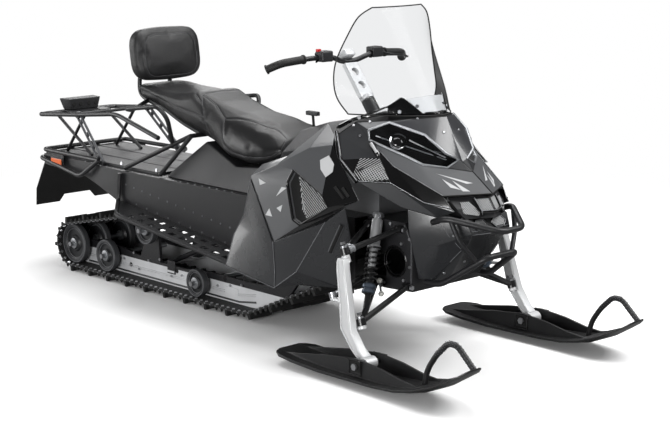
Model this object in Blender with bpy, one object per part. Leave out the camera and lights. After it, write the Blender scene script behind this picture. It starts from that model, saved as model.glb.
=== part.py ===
"""Two-seat utility snowmobile, in metres: +X forward, +Y to the rider's left, +Z up.

The origin is on the ground under the middle of the machine.  Points of the body are
given as shares of three driving sizes (forward, left, up) and become metres in place().
Tables hold the left side or a half section; the right side is its mirror image.
"""
import math

import bmesh
import bpy
from mathutils import Matrix, Vector

# Driving sizes
BODY_REACH = 1.0        # from the middle of the machine to the front bulkhead's arm mounts
BODY_WIDTH = 1.0        # across the body at its widest panels
BODY_HEIGHT = 1.0       # from the ground to the top of the hood's cowl

# Running gear
GAP = 0.0003            # between pieces that touch
TRACK_WIDTH = 0.50
BELT_THICKNESS = 0.009
LUG_HEIGHT = 0.028
GUIDE_HEIGHT = 0.020
TRACK_PITCHES = 60
PITCH_STEPS = 4
REAR_WHEEL_RADIUS = 0.100
SECOND_WHEEL_RADIUS = 0.080
BOGIE_WHEEL_RADIUS = 0.065
CARRIER_WHEEL_RADIUS = 0.070
DRIVE_RADIUS = 0.090
RAIL_NOSE_RADIUS = 0.300
WHEEL_WIDTH = 0.032
AXLE_RADIUS = 0.012
RAIL_THICKNESS = 0.016
RAIL_SPREAD = 0.155
OUTER_WHEEL_SPREAD = 0.205
INNER_WHEEL_SPREAD = 0.075
GUIDE_SPREAD = 0.110
GUIDE_WIDTH = 0.024

# Sheet, tube and shell thicknesses
TUNNEL_WALL = 0.004
PANEL_WALL = 0.005
PLATE_WALL = 0.005
SCREEN_WALL = 0.004
FLAP_WALL = 0.006
RACK_TUBE = 0.011
GUARD_TUBE = 0.011
BUMPER_TUBE = 0.0125
SEAT_TUBE = 0.0105
ARM_TUBE = 0.012
BAR_TUBE = 0.011
GRIP_RADIUS = 0.016
TUBE_BEND = 0.035
BEND_LIMIT_SHARE = 0.45     # most of a straight stretch that one bend may take
UPRIGHT_SHARE = 0.9         # rise of a unit vector past which it counts as upright

# Steering and front suspension
BOSS_RADIUS = 0.017
BOSS_HALF = 0.0135
TIE_HALF = 0.010
TIE_ROD_RADIUS = 0.008
TIE_EYE_RADIUS = 0.013
SKI_PIN_RADIUS = 0.008
SPRING_WIRE = 0.0048
SPRING_RADIUS = 0.0245
SPRING_TURNS = 6
SPRING_STEPS = 8
RUNNER_RADIUS = 0.00665

# Where the main things are, as shares (forward, left, up) of the body's sizes
TUNNEL_TOP_SHARE = 0.575
REAR_AXLE_SHARE = -1.338
SECOND_AXLE_SHARE = -1.065
BOGIE_AXLE_SHARE = -0.350
RAIL_NOSE_SHARE = -0.020
CARRIER_AXLE_SHARES = (-0.734, 0.0, 0.295)
DRIVE_AXLE_SHARES = (0.640, 0.0, 0.400)
UPPER_BALL_SHARES = (0.896, 0.442, 0.483)
LOWER_BALL_SHARES = (0.988, 0.442, 0.217)
TIE_END_SHARES = (0.846, 0.462, 0.305)
TIE_INNER_SHARES = (0.838, 0.140, 0.385)
SKI_PIN_SHARES = (1.071, 0.485, 0.078)
STEERING_TOP_SHARES = (0.450, 0.0, 1.167)
STEERING_FOOT_SHARES = (0.570, 0.0, 1.009)


def clear_scene():
    """Start from nothing."""
    for leftover in list(bpy.data.objects):
        bpy.data.objects.remove(leftover, do_unlink=True)


def place(shares):
    """Point of the machine from its shares (forward, left, up)."""
    forward, left, up = shares
    return Vector((forward * BODY_REACH, left * BODY_WIDTH, up * BODY_HEIGHT))


def sided(point, side):
    """The same point on the left (+1) or mirrored to the right (-1)."""
    return Vector((point.x, point.y * side, point.z))


def mid(first, second, share):
    """Point at a share of the way between two points."""
    return first.lerp(second, share)


def make_material(name, colour, roughness, metallic=0.0):
    """One Principled material for one sub-part."""
    material = bpy.data.materials.new(name)
    material.use_nodes = True
    shader = material.node_tree.nodes["Principled BSDF"]
    shader.inputs["Base Color"].default_value = (*colour, 1.0)
    shader.inputs["Roughness"].default_value = roughness
    shader.inputs["Metallic"].default_value = metallic
    material.diffuse_color = (*colour, 1.0)
    return material


# Finishes: colour, roughness, metallic
FINISHES = {
    "black_steel": ((0.020, 0.020, 0.022), 0.45, 0.3),
    "black_plastic": ((0.018, 0.018, 0.019), 0.50, 0.0),
    "dark_plastic": ((0.045, 0.045, 0.047), 0.45, 0.0),
    "grey_panel": ((0.150, 0.150, 0.155), 0.40, 0.2),
    "vinyl": ((0.060, 0.060, 0.062), 0.60, 0.0),
    "rubber": ((0.015, 0.015, 0.015), 0.80, 0.0),
    "silver": ((0.600, 0.600, 0.610), 0.35, 0.9),
    "clear": ((0.750, 0.780, 0.800), 0.05, 0.0),
    "lamp": ((0.700, 0.700, 0.720), 0.10, 0.1),
}


def finish(name, finish_name):
    """Material of one sub-part, named after it."""
    colour, roughness, metallic = FINISHES[finish_name]
    return make_material(name + "_finish", colour, roughness, metallic)


def add_mesh(name, mesh, finish_name):
    """Object with its own material."""
    mesh.materials.clear()
    mesh.materials.append(finish(name, finish_name))
    thing = bpy.data.objects.new(name, mesh)
    bpy.context.collection.objects.link(thing)
    return thing


def solid(name, points, faces, finish_name):
    """Closed solid from points and faces, its faces turned outwards."""
    mesh = bpy.data.meshes.new(name)
    mesh.from_pydata([tuple(point) for point in points], [], faces)
    shape = bmesh.new()
    shape.from_mesh(mesh)
    bmesh.ops.recalc_face_normals(shape, faces=shape.faces)
    shape.to_mesh(mesh)
    shape.free()
    return add_mesh(name, mesh, finish_name)


def loft(name, rings, finish_name, closed=False):
    """Skin through rings of equally many points, with filled ends unless it is a ring itself."""
    count = len(rings[0])
    points = [point for ring in rings for point in ring]
    faces = []
    spans = len(rings) if closed else len(rings) - 1
    for row in range(spans):
        low = row * count
        high = ((row + 1) % len(rings)) * count
        for step in range(count):
            after = (step + 1) % count
            faces.append((low + step, low + after, high + after, high + step))
    if not closed:
        faces.append(tuple(range(count)))
        faces.append(tuple(range(len(points) - count, len(points))))
    return solid(name, points, faces, finish_name)


def prism(name, outline, depth, finish_name):
    """Outline pushed along a vector."""
    return loft(name, [outline, [point + depth for point in outline]], finish_name)


def box(name, centre, size, finish_name):
    """Straight block."""
    half = size / 2
    corners = ((-1, -1), (1, -1), (1, 1), (-1, 1))
    low = [centre + Vector((half.x * a, half.y * b, -half.z)) for a, b in corners]
    return prism(name, low, Vector((0, 0, size.z)), finish_name)


def across(direction):
    """Two unit vectors square to a direction."""
    ahead = direction.normalized()
    helper = Vector((0, 0, 1)) if abs(ahead.z) < UPRIGHT_SHARE else Vector((1, 0, 0))
    side = helper.cross(ahead).normalized()
    return side, ahead.cross(side).normalized()


def circle(centre, direction, radius, sides):
    """Ring of points square to a direction."""
    side, rise = across(direction)
    ring = []
    for step in range(sides):
        angle = math.tau * (step + 0.5) / sides
        ring.append(centre + side * (radius * math.cos(angle)) + rise * (radius * math.sin(angle)))
    return ring


def cylinder(name, start, end, radius, sides, finish_name, end_radius=None):
    """Round bar or cone frustum between two points."""
    direction = end - start
    far = radius if end_radius is None else end_radius
    rings = [circle(start, direction, radius, sides), circle(end, direction, far, sides)]
    return loft(name, rings, finish_name)


def lathe(name, start, direction, profile, sides, finish_name):
    """Turned solid: profile of (distance along the axis, radius) from one end to the other."""
    ahead = direction.normalized()
    rings = [circle(start + ahead * along, ahead, radius, sides) for along, radius in profile]
    return loft(name, rings, finish_name)


def rounded(path, bend, steps=3, closed=False):
    """Path with its corners turned into arcs of straight pieces."""
    count = len(path)
    result = []
    for index, corner in enumerate(path):
        if not closed and index in (0, count - 1):
            result.append(corner)
            continue
        before = path[index - 1]
        after = path[(index + 1) % count]
        back = (before - corner)
        ahead = (after - corner)
        reach = min(bend, back.length * BEND_LIMIT_SHARE, ahead.length * BEND_LIMIT_SHARE)
        first = corner + back.normalized() * reach
        last = corner + ahead.normalized() * reach
        for step in range(steps + 1):
            share = step / steps
            result.append(mid(mid(first, corner, share), mid(corner, last, share), share))
    return result


def sweep(name, path, section, finish_name, closed=False):
    """Section of (side, rise) offsets carried along a path."""
    count = len(path)
    tangents = []
    for index in range(count):
        before = path[index - 1] if closed or index > 0 else path[index]
        after = path[(index + 1) % count] if closed or index < count - 1 else path[index]
        tangents.append((after - before).normalized())
    side, _ = across(tangents[0])
    rings = []
    for point, tangent in zip(path, tangents):
        side = (side - tangent * side.dot(tangent)).normalized()
        rise = tangent.cross(side)
        rings.append([point + side * a + rise * b for a, b in section])
    return loft(name, rings, finish_name, closed)


def round_section(radius, sides):
    """Section of a round tube."""
    return [(radius * math.cos(math.tau * (step + 0.5) / sides),
             radius * math.sin(math.tau * (step + 0.5) / sides)) for step in range(sides)]


def tube(name, corners, radius, finish_name, bend=TUBE_BEND, sides=8, closed=False):
    """Bent tube through its corner points."""
    path = rounded(corners, bend, 2, closed)
    return sweep(name, path, round_section(radius, sides), finish_name, closed)


def standing(low, high, radius, floor):
    """The lower end of a sloping bar, lifted until its cut end just clears a floor."""
    direction = (high - low).normalized()
    tilt = math.sqrt(max(0.0, 1.0 - direction.z * direction.z))
    return Vector((low.x, low.y, floor + GAP + radius * tilt))


def evaluated(thing):
    """Mesh of an object with its modifiers carried out."""
    bpy.context.view_layer.update()
    graph = bpy.context.evaluated_depsgraph_get()
    return bpy.data.meshes.new_from_object(thing.evaluated_get(graph))


def combine(name, things, operation, finish_name):
    """The first solid with the others joined to it or cut from it, as one solid."""
    first = things[0]
    for other in things[1:]:
        step = first.modifiers.new("joint", "BOOLEAN")
        step.operation = operation
        step.solver = "EXACT"
        step.object = other
    mesh = evaluated(first)
    for thing in things:
        bpy.data.objects.remove(thing, do_unlink=True)
    return add_mesh(name, mesh, finish_name)


def fuse(name, things, finish_name):
    """Several solids joined into one."""
    return combine(name, things, "UNION", finish_name)


def cut(name, things, finish_name):
    """The first solid less the others."""
    return combine(name, things, "DIFFERENCE", finish_name)


def shell(name, points, faces, thickness, inside, finish_name):
    """Sheet of faces turned away from an inner point, thickened inwards."""
    mesh = bpy.data.meshes.new(name)
    mesh.from_pydata([tuple(point) for point in points], [], faces)
    shape = bmesh.new()
    shape.from_mesh(mesh)
    bmesh.ops.recalc_face_normals(shape, faces=shape.faces)
    outward = sum(face.normal.dot(face.calc_center_median() - inside) * face.calc_area()
                  for face in shape.faces)
    if outward < 0:
        bmesh.ops.reverse_faces(shape, faces=shape.faces)
    shape.to_mesh(mesh)
    shape.free()
    thing = add_mesh(name, mesh, finish_name)
    wall = thing.modifiers.new("wall", "SOLIDIFY")
    wall.thickness = thickness
    wall.offset = -1.0
    wall.use_even_offset = True
    return thing


# The tunnel: a channel of sheet metal over the track, with its lower edge cut away at the rear
TUNNEL_SHARES = (       # forward, half width, lower edge
    (-1.550, 0.235, 0.520),
    (-1.190, 0.235, 0.500),
    (-1.060, 0.250, 0.473),
    (-0.860, 0.270, 0.418),
    (-0.030, 0.270, 0.331),
    (0.300, 0.270, 0.300),
    (0.772, 0.270, 0.300),
)


def make_tunnel():
    points, faces = [], []
    for forward, half, low in TUNNEL_SHARES:
        for left, up in ((half, low), (half, TUNNEL_TOP_SHARE), (-half, TUNNEL_TOP_SHARE), (-half, low)):
            points.append(place((forward, left, up)))
    for row in range(len(TUNNEL_SHARES) - 1):
        for step in range(3):
            start = row * 4 + step
            faces.append((start, start + 1, start + 5, start + 4))
    inside = place((0.0, 0.0, 0.0))
    shell("tunnel", points, faces, TUNNEL_WALL, inside, "dark_plastic")


# Running boards: perforated treads with an edge tube that runs up to the tunnel's lip
BOARD_RISE_SHARE = 0.3316
BOARD_SLOPE_SHARE = -0.115
BOARD_THICKNESS = 0.005
BOARD_TUBE = 0.011
BOARD_INNER_SHARE = 0.2703
BOARD_OUTER_SHARE = 0.430
BOARD_FRONT_SHARE = 0.300
BOARD_CORNER_SHARE = -0.660
BOARD_REAR_SHARE = -0.850
BOARD_TOP_SHARES = (-0.830, 0.2825, 0.565)
BOARD_TUBE_SHARE = 0.2825       # where the edge tube runs up beside the tunnel
BOARD_ROWS = 5
BOARD_COLUMNS = 25


def board_point(forward, left):
    """Point on the sloping tread."""
    return place((forward, left, BOARD_RISE_SHARE + BOARD_SLOPE_SHARE * forward))


def make_running_board(name, side):
    drop = Vector((0, 0, -BOARD_THICKNESS))
    points, faces, index = [], [], {}

    def corner(column, row, layer):
        key = (column, row, layer)
        if key not in index:
            forward = BOARD_CORNER_SHARE + (BOARD_FRONT_SHARE - BOARD_CORNER_SHARE) * column / BOARD_COLUMNS
            left = BOARD_INNER_SHARE + (BOARD_OUTER_SHARE - BOARD_INNER_SHARE) * row / BOARD_ROWS
            index[key] = len(points)
            points.append(sided(board_point(forward, left), side) + drop * layer)
        return index[key]

    def is_open(column, row):
        if not 0 <= column < BOARD_COLUMNS or not 0 <= row < BOARD_ROWS:
            return True
        return column % 2 == 1 and row % 2 == 1

    for column in range(BOARD_COLUMNS):
        for row in range(BOARD_ROWS):
            if is_open(column, row):
                continue
            loop = ((column, row), (column + 1, row), (column + 1, row + 1), (column, row + 1))
            for layer in (0, 1):
                faces.append(tuple(corner(a, b, layer) for a, b in loop))
            beside = ((column, row - 1), (column + 1, row), (column, row + 1), (column - 1, row))
            for step, (a, b) in enumerate(beside):
                if is_open(a, b):
                    start, end = loop[step], loop[(step + 1) % 4]
                    faces.append((corner(*start, 0), corner(*end, 0), corner(*end, 1), corner(*start, 1)))
    tread = solid("tread", points, faces, "black_steel")
    wing = [sided(board_point(BOARD_REAR_SHARE, BOARD_INNER_SHARE), side),
            sided(board_point(BOARD_CORNER_SHARE, BOARD_INNER_SHARE), side),
            sided(board_point(BOARD_CORNER_SHARE, BOARD_OUTER_SHARE), side)]
    wing_plate = prism("wing", wing, drop, "black_steel")
    path = [board_point(BOARD_FRONT_SHARE, BOARD_OUTER_SHARE),
            board_point(BOARD_CORNER_SHARE, BOARD_OUTER_SHARE),
            board_point(BOARD_REAR_SHARE, BOARD_TUBE_SHARE), place(BOARD_TOP_SHARES)]
    edge = tube("edge", [sided(point, side) for point in path], BOARD_TUBE, "black_steel")
    fuse(name, [tread, wing_plate, edge], "black_steel")


# Snow flap: folded sheet behind the tunnel with a raised notch in its lower edge
FLAP_SHARES = (         # rear face, up; the sheet's fold lines from the tunnel down
    (-1.5565, 0.575),
    (-1.5565, 0.530),
    (-1.6220, 0.386),
    (-1.6300, 0.300),
)
FLAP_HALF_SHARE = 0.250
FLAP_TOP_HALF_SHARE = 0.235
FLAP_NOTCH_SHARES = (0.080, 0.110, 0.335)   # notch half width, lobe start, notch height


def make_snow_flap():
    notch, lobe, notch_up = FLAP_NOTCH_SHARES
    columns = (-1.0, -lobe / FLAP_HALF_SHARE, -notch / FLAP_HALF_SHARE,
               notch / FLAP_HALF_SHARE, lobe / FLAP_HALF_SHARE, 1.0)
    points, faces = [], []
    for row, (forward, up) in enumerate(FLAP_SHARES):
        half = FLAP_TOP_HALF_SHARE if row < 2 else FLAP_HALF_SHARE
        for step, column in enumerate(columns):
            level = notch_up if row == 3 and step in (2, 3) else up
            points.append(place((forward, half * column, level)))
    width = len(columns)
    for row in range(len(FLAP_SHARES) - 1):
        for step in range(width - 1):
            start = row * width + step
            faces.append((start, start + 1, start + width + 1, start + width))
    inside = place((0.0, 0.0, 0.0))
    shell("snow_flap", points, faces, FLAP_WALL, inside, "black_plastic")


# Rear guard: two hoops of tube round the tail, with plates for the side markers
GUARD_UPPER_SHARES = ((-1.030, 0.264, 0.600), (-1.537, 0.250, 0.6002))
GUARD_LOWER_SHARES = ((-1.030, 0.264, 0.600), (-1.185, 0.270, 0.505), (-1.5715, 0.250, 0.556))
GUARD_BEND = 0.020
GUARD_PLATE_SHARES = (-1.410, 0.250, 0.566)
GUARD_PLATE_SIZE = Vector((0.110, 0.006, 0.075))


def make_rear_guard():
    pieces = []
    for row in (GUARD_UPPER_SHARES, GUARD_LOWER_SHARES):
        left = [place(point) for point in row]
        right = [sided(point, -1) for point in reversed(left)]
        pieces.append(tube("hoop", left + right, GUARD_TUBE, "black_steel", GUARD_BEND))
    for side in (1, -1):
        centre = sided(place(GUARD_PLATE_SHARES), side)
        pieces.append(box("plate", centre, GUARD_PLATE_SIZE, "black_steel"))
    fuse("rear_guard", pieces, "black_steel")


# Cargo deck: ribbed tray on the tunnel behind the seat
DECK_REAR_SHARE = -1.545
DECK_FRONT_SHARE = -0.600
DECK_FLOOR_SHARE = 0.5860
DECK_SECTION_SHARES = (     # left, up; half section from the middle outwards along the top
    (0.000, 0.5860),
    (0.060, 0.5860),
    (0.066, 0.5890),
    (0.090, 0.5890),
    (0.096, 0.5860),
    (0.180, 0.5860),
    (0.190, 0.5895),
    (0.230, 0.5895),
)


def make_cargo_deck():
    base = TUNNEL_TOP_SHARE * BODY_HEIGHT + GAP
    half = [place((0.0, left, up)) for left, up in DECK_SECTION_SHARES]
    top = [sided(point, -1) for point in reversed(half[1:])] + half
    section = [Vector((0, top[0].y, base))] + top + [Vector((0, top[-1].y, base))]
    rear = Vector((DECK_REAR_SHARE * BODY_REACH, 0, 0))
    depth = Vector(((DECK_FRONT_SHARE - DECK_REAR_SHARE) * BODY_REACH, 0, 0))
    prism("cargo_deck", [point + rear for point in section], depth, "black_plastic")


# Luggage rack: a loop of tube on slotted legs with crossed braces to the deck
RACK_LOOP_SHARES = (
    (-0.560, 0.250, 0.757),
    (-0.940, 0.215, 0.830),
    (-1.260, 0.216, 0.797),
    (-1.619, 0.222, 0.767),
)
RACK_BEND = 0.05
RACK_LEG_SHARES = ((-1.270, 0.210, 0.795), (-1.030, 0.240, 0.580))
RACK_LEG_SIZE = (0.034, 0.008)
RACK_BRACE_SHARES = (   # pairs of ends: from the deck's tail to the rack and crossed
    ((-1.470, 0.150, 0.590), (-1.300, 0.150, 0.790)),
    ((-1.250, 0.150, 0.590), (-1.560, 0.150, 0.772)),
)
RACK_BRACE_TUBE = 0.008
RACK_CROSS_SHARES = (-1.300, -1.560)
RACK_PLATFORM_SHARES = (-1.585, -1.450, 0.1100, 0.7770, 0.7830)


def make_rack():
    left = [place(point) for point in RACK_LOOP_SHARES]
    right = [sided(point, -1) for point in reversed(left)]
    pieces = [tube("loop", left + right, RACK_TUBE, "black_steel", RACK_BEND)]
    wide, thick = RACK_LEG_SIZE
    section = [(-wide / 2, -thick / 2), (wide / 2, -thick / 2), (wide / 2, thick / 2), (-wide / 2, thick / 2)]
    for side in (1, -1):
        ends = [sided(place(point), side) for point in RACK_LEG_SHARES]
        ends[1] = standing(ends[1], ends[0], wide / 2, TUNNEL_TOP_SHARE * BODY_HEIGHT)
        pieces.append(sweep("leg", ends, [(b, a) for a, b in section], "black_steel"))
        for first, last in RACK_BRACE_SHARES:
            high = sided(place(last), side)
            low = standing(sided(place(first), side), high, RACK_BRACE_TUBE, DECK_FLOOR_SHARE * BODY_HEIGHT)
            pieces.append(cylinder("brace", low, high, RACK_BRACE_TUBE, 6, "black_steel"))
    near, far = left[2], left[3]
    for forward in RACK_CROSS_SHARES:
        share = (forward * BODY_REACH - near.x) / (far.x - near.x)
        end = mid(near, far, share)
        pieces.append(cylinder("cross", end, sided(end, -1), RACK_BRACE_TUBE, 6, "black_steel"))
    rear, front, half, low, high = RACK_PLATFORM_SHARES
    corners = ((rear, -half, low), (front, -half, low), (front, half, low), (rear, half, low))
    platform = [place(corner) for corner in corners]
    pieces.append(prism("platform", platform, Vector((0, 0, (high - low) * BODY_HEIGHT)), "black_steel"))
    fuse("rack_frame", pieces, "black_steel")


# Tail lamp: a flared housing on the rack's platform
LAMP_BASE_SHARES = (-1.585, -1.525, 0.090, 0.7835)
LAMP_TOP_SHARES = (-1.600, -1.520, 0.105, 0.8400)
LAMP_TAPER_SHARE = 0.9


def make_tail_lamp():
    rings = []
    for rear, front, half, up in (LAMP_BASE_SHARES, LAMP_TOP_SHARES):
        narrow = half * LAMP_TAPER_SHARE
        corners = ((rear, -half, up), (front, -narrow, up), (front, narrow, up), (rear, half, up))
        rings.append([place(corner) for corner in corners])
    loft("tail_lamp", rings, "black_plastic")


# Seat frame: sloping struts each side, cross tube, backrest uprights and the grab rails
STRUT_SHARES = (
    ((-0.830, 0.250, 0.586), (-0.395, 0.190, 0.777)),
    ((-0.554, 0.250, 0.586), (-0.390, 0.190, 0.777)),
)
SEAT_CROSS_SHARES = (-0.395, 0.190, 0.777)
SEAT_RAIL_SHARES = (
    (-0.395, 0.120, 0.777), (-0.430, 0.120, 0.7872), (-0.540, 0.120, 0.8175), (-0.700, 0.110, 0.8732),
    (-0.860, 0.095, 0.8982), (-0.9145, 0.090, 0.925), (-0.9145, 0.090, 0.995),
    (-0.8871, 0.090, 1.0475), (-0.9011, 0.090, 1.147),
)
GRAB_SHARES = ((-0.510, 0.206, 0.7315), (-0.460, 0.270, 0.860), (-0.490, 0.300, 0.915),
               (-0.740, 0.300, 0.880), (-0.800, 0.220, 0.862), (-0.835, 0.100, 0.8950))


def make_seat_frame():
    pieces = []
    for side in (1, -1):
        for row in STRUT_SHARES:
            low, high = (sided(place(point), side) for point in row)
            low = standing(low, high, SEAT_TUBE, TUNNEL_TOP_SHARE * BODY_HEIGHT)
            pieces.append(cylinder("strut", low, high, SEAT_TUBE, 8, "black_steel"))
        rail = [sided(place(point), side) for point in SEAT_RAIL_SHARES]
        pieces.append(tube("rail", rail, SEAT_TUBE, "black_steel", sides=6))
        grab = [sided(place(point), side) for point in GRAB_SHARES]
        pieces.append(tube("grab", grab, SEAT_TUBE, "black_steel", sides=6))
    ends = [sided(place(SEAT_CROSS_SHARES), side) for side in (1, -1)]
    pieces.append(cylinder("cross", ends[0], ends[1], SEAT_TUBE, 8, "black_steel"))
    fuse("seat_frame", pieces, "black_steel")


# Seat base: the box over the tunnel that carries the seat
BASE_SECTION_SHARES = (     # forward, top, half width at the bottom, half width at the top
    (-0.540, 0.590, 0.225, 0.200),
    (-0.330, 0.755, 0.230, 0.150),
    (-0.080, 0.672, 0.235, 0.180),
    (0.100, 0.690, 0.240, 0.190),
    (0.300, 0.700, 0.240, 0.200),
)


def make_seat_base():
    lift = Vector((0, 0, GAP))
    foot = TUNNEL_TOP_SHARE
    rings = []
    for forward, top, wide, narrow in BASE_SECTION_SHARES:
        low = [place((forward, left, foot)) + lift for left in (-wide, wide)]
        high = [place((forward, left, top)) for left in (-narrow, narrow)]
        rings.append([low[0], *high, low[1]])
    loft("seat_base", rings, "black_plastic")


# Seat cushion: two-up seat with a raised rear and a swelling between rider and passenger
SEAT_SHARES = (     # forward, top, bottom, half width at the top, half width at the bottom
    (-0.900, 0.972, 0.935, 0.100, 0.090),
    (-0.860, 0.979, 0.912, 0.140, 0.130),
    (-0.700, 0.955, 0.885, 0.165, 0.150),
    (-0.540, 0.949, 0.830, 0.168, 0.165),
    (-0.430, 0.966, 0.800, 0.160, 0.170),
    (-0.300, 0.925, 0.766, 0.150, 0.175),
    (-0.150, 0.893, 0.705, 0.150, 0.195),
    (0.000, 0.873, 0.690, 0.155, 0.205),
    (0.120, 0.852, 0.705, 0.150, 0.200),
    (0.210, 0.825, 0.740, 0.130, 0.170),
)
SEAT_LOWER_SHARES = ((0.80, 0.00), (1.00, 0.15), (1.00, 0.45))     # of its half width, of its height
SEAT_UPPER_SHARES = ((1.00, 0.85), (0.75, 1.00))


def make_seat_cushion():
    rings = []
    for forward, top, bottom, upper, lower in SEAT_SHARES:
        ring = []
        for half, spots in ((lower, SEAT_LOWER_SHARES), (upper, SEAT_UPPER_SHARES)):
            for out, rise in spots:
                ring.append(place((forward, half * out, bottom + (top - bottom) * rise)))
        ring += [sided(point, -1) for point in reversed(ring)]
        rings.append(ring)
    loft("seat_cushion", rings, "vinyl")


# Backrest pad and its bracket with a pull pin
PAD_CENTRE_SHARES = (-0.825, 0.0, 1.115)
PAD_SIZE = Vector((0.100, 0.386, 0.250))
PAD_CORNER = 0.075
PAD_EDGE = 0.025
PAD_LEAN = math.radians(8)
PLATE_SIZE = Vector((0.010, 0.220, 0.140))


def rounded_rectangle(width, height, corner, steps=4):
    """Outline of a rectangle with round corners."""
    points = []
    for turn, (a, b) in enumerate(((1, 1), (-1, 1), (-1, -1), (1, -1))):
        for step in range(steps + 1):
            angle = math.pi / 2 * (turn + step / steps)
            points.append((a * (width / 2 - corner) + corner * math.cos(angle),
                           b * (height / 2 - corner) + corner * math.sin(angle)))
    return points


def make_backrest():
    centre = place(PAD_CENTRE_SHARES)
    lean = Matrix.Rotation(-PAD_LEAN, 3, "Y")
    half = PAD_SIZE.x / 2
    rings = []
    full = half - PAD_EDGE
    for depth, inset in ((-half, PAD_EDGE), (-full, 0.0), (full, 0.0), (half, PAD_EDGE)):
        outline = rounded_rectangle(PAD_SIZE.y - 2 * inset, PAD_SIZE.z - 2 * inset, PAD_CORNER - inset)
        rings.append([centre + lean @ Vector((depth, left, up)) for left, up in outline])
    loft("backrest_pad", rings, "vinyl")
    back = centre + lean @ Vector((-half - GAP - PLATE_SIZE.x / 2, 0, 0))
    outline = rounded_rectangle(PLATE_SIZE.y, PLATE_SIZE.z, PAD_EDGE)
    plate = []
    for depth in (-PLATE_SIZE.x / 2, PLATE_SIZE.x / 2):
        plate.append([back + lean @ Vector((depth, left, up)) for left, up in outline])
    loft("backrest_bracket", plate, "black_steel")


# Console: the fixed cover between the seat and the windshield, with the steering collar
CONSOLE_SHARES = (      # forward, top, half width at the top, side height, half width of the side, bottom
    (0.2350, 0.800, 0.110, 0.745, 0.200, 0.7006),
    (0.3200, 0.872, 0.150, 0.790, 0.260, 0.7006),
    (0.5000, 0.925, 0.160, 0.830, 0.280, 0.7650),
    (0.6300, 0.950, 0.170, 0.900, 0.250, 0.7650),
    (0.7400, 0.970, 0.180, 0.915, 0.235, 0.8200),
    (0.8450, 0.9855, 0.150, 0.960, 0.160, 0.9420),
)
CONSOLE_TUCK_SHARE = 0.9        # half width of the lower edge against that of the side
COLLAR_RADIUS = 0.030
COLLAR_LENGTH = 0.110


def make_console():
    rings = []
    for forward, top, upper, level, wide, bottom in CONSOLE_SHARES:
        half = ((wide * CONSOLE_TUCK_SHARE, bottom), (wide, level), (upper, top))
        ring = [place((forward, left, up)) for left, up in half]
        ring += [sided(point, -1) for point in reversed(ring)]
        rings.append(ring)
    body = loft("body", rings, "black_plastic")
    top = place(STEERING_FOOT_SHARES)
    axis = (place(STEERING_TOP_SHARES) - top).normalized()
    low, high = top - axis * COLLAR_LENGTH, top - axis * GAP
    collar = cylinder("collar", low, high, COLLAR_RADIUS, 12, "black_plastic")
    fuse("console", [body, collar], "black_plastic")


# Side panels: folded upper panels with a sunk vent
PANEL_SHARES = {
    "p1": (0.304, 0.420, 0.707), "p2": (0.310, 0.360, 0.750), "p3": (0.510, 0.330, 0.820),
    "p4": (0.630, 0.280, 0.945), "p5": (0.700, 0.310, 0.905), "p6": (0.740, 0.360, 0.876),
    "p7": (0.920, 0.390, 0.680), "p8": (0.860, 0.400, 0.655), "p9": (0.780, 0.430, 0.600),
    "tip": (0.493, 0.460, 0.464),
    "r1": (0.480, 0.428, 0.775), "r2": (0.640, 0.392, 0.858),
    "v1": (0.582, 0.427, 0.765), "v2": (0.553, 0.437, 0.710), "v3": (0.601, 0.450, 0.568),
    "v4": (0.643, 0.450, 0.553), "v5": (0.787, 0.430, 0.640), "v6": (0.742, 0.420, 0.684),
}
PANEL_FACES = (
    ("p1", "p2", "p3", "r1"), ("r1", "p3", "p4", "r2"), ("r2", "p4", "p5", "p6"),
    ("p1", "r1", "v1", "v2"), ("p1", "v2", "v3", "tip"), ("tip", "v3", "v4", "p9"),
    ("v4", "v5", "p8", "p9"), ("v5", "v6", "p7", "p8"), ("v6", "r2", "p6", "p7"),
    ("v1", "r1", "r2", "v6"),
)
VENT_NAMES = ("v1", "v2", "v3", "v4", "v5", "v6")
VENT_DEPTH = 0.014
VENT_SHRINK_SHARE = 0.94
PANEL_INSIDE_SHARES = (0.600, 0.0, 0.650)


def make_side_panel(name, side):
    names = list(PANEL_SHARES)
    points = [sided(place(PANEL_SHARES[key]), side) for key in names]
    faces = [tuple(names.index(key) for key in face) for face in PANEL_FACES]
    ring = [names.index(key) for key in VENT_NAMES]
    centre = sum((points[index] for index in ring), Vector()) / len(ring)
    sunk = []
    for index in ring:
        low = mid(centre, points[index], VENT_SHRINK_SHARE) - Vector((0, side * VENT_DEPTH, 0))
        sunk.append(len(points))
        points.append(low)
    for step in range(len(ring)):
        after = (step + 1) % len(ring)
        faces.append((ring[step], ring[after], sunk[after], sunk[step]))
    faces.append(tuple(sunk))
    shell(name, points, faces, PANEL_WALL, place(PANEL_INSIDE_SHARES), "grey_panel")


# Belly pans: folded lower panels from the footwell to the nose
BELLY_SHARES = {
    "b0": (0.165, 0.450, 0.305), "b1": (0.169, 0.405, 0.438), "b2": (0.238, 0.405, 0.530),
    "b3": (0.302, 0.420, 0.695), "tip": (0.490, 0.4658, 0.462), "m1": (0.330, 0.430, 0.480),
    "b4": (0.500, 0.468, 0.272), "b5": (0.620, 0.452, 0.357), "b6": (0.580, 0.395, 0.285),
    "b7": (0.780, 0.345, 0.295), "b8": (0.770, 0.430, 0.580), "b9": (0.835, 0.345, 0.480),
    "c1": (0.850, 0.395, 0.645),
}
BELLY_FACES = (
    ("b0", "b1", "m1", "b4"), ("b1", "b2", "m1"), ("b2", "b3", "m1"), ("b3", "tip", "m1"),
    ("m1", "tip", "b4"), ("tip", "b8", "b5"), ("tip", "b5", "b4"), ("b4", "b5", "b6"),
    ("b5", "b7", "b6"), ("b8", "b9", "b7", "b5"), ("b8", "c1", "b9"),
)


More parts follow.
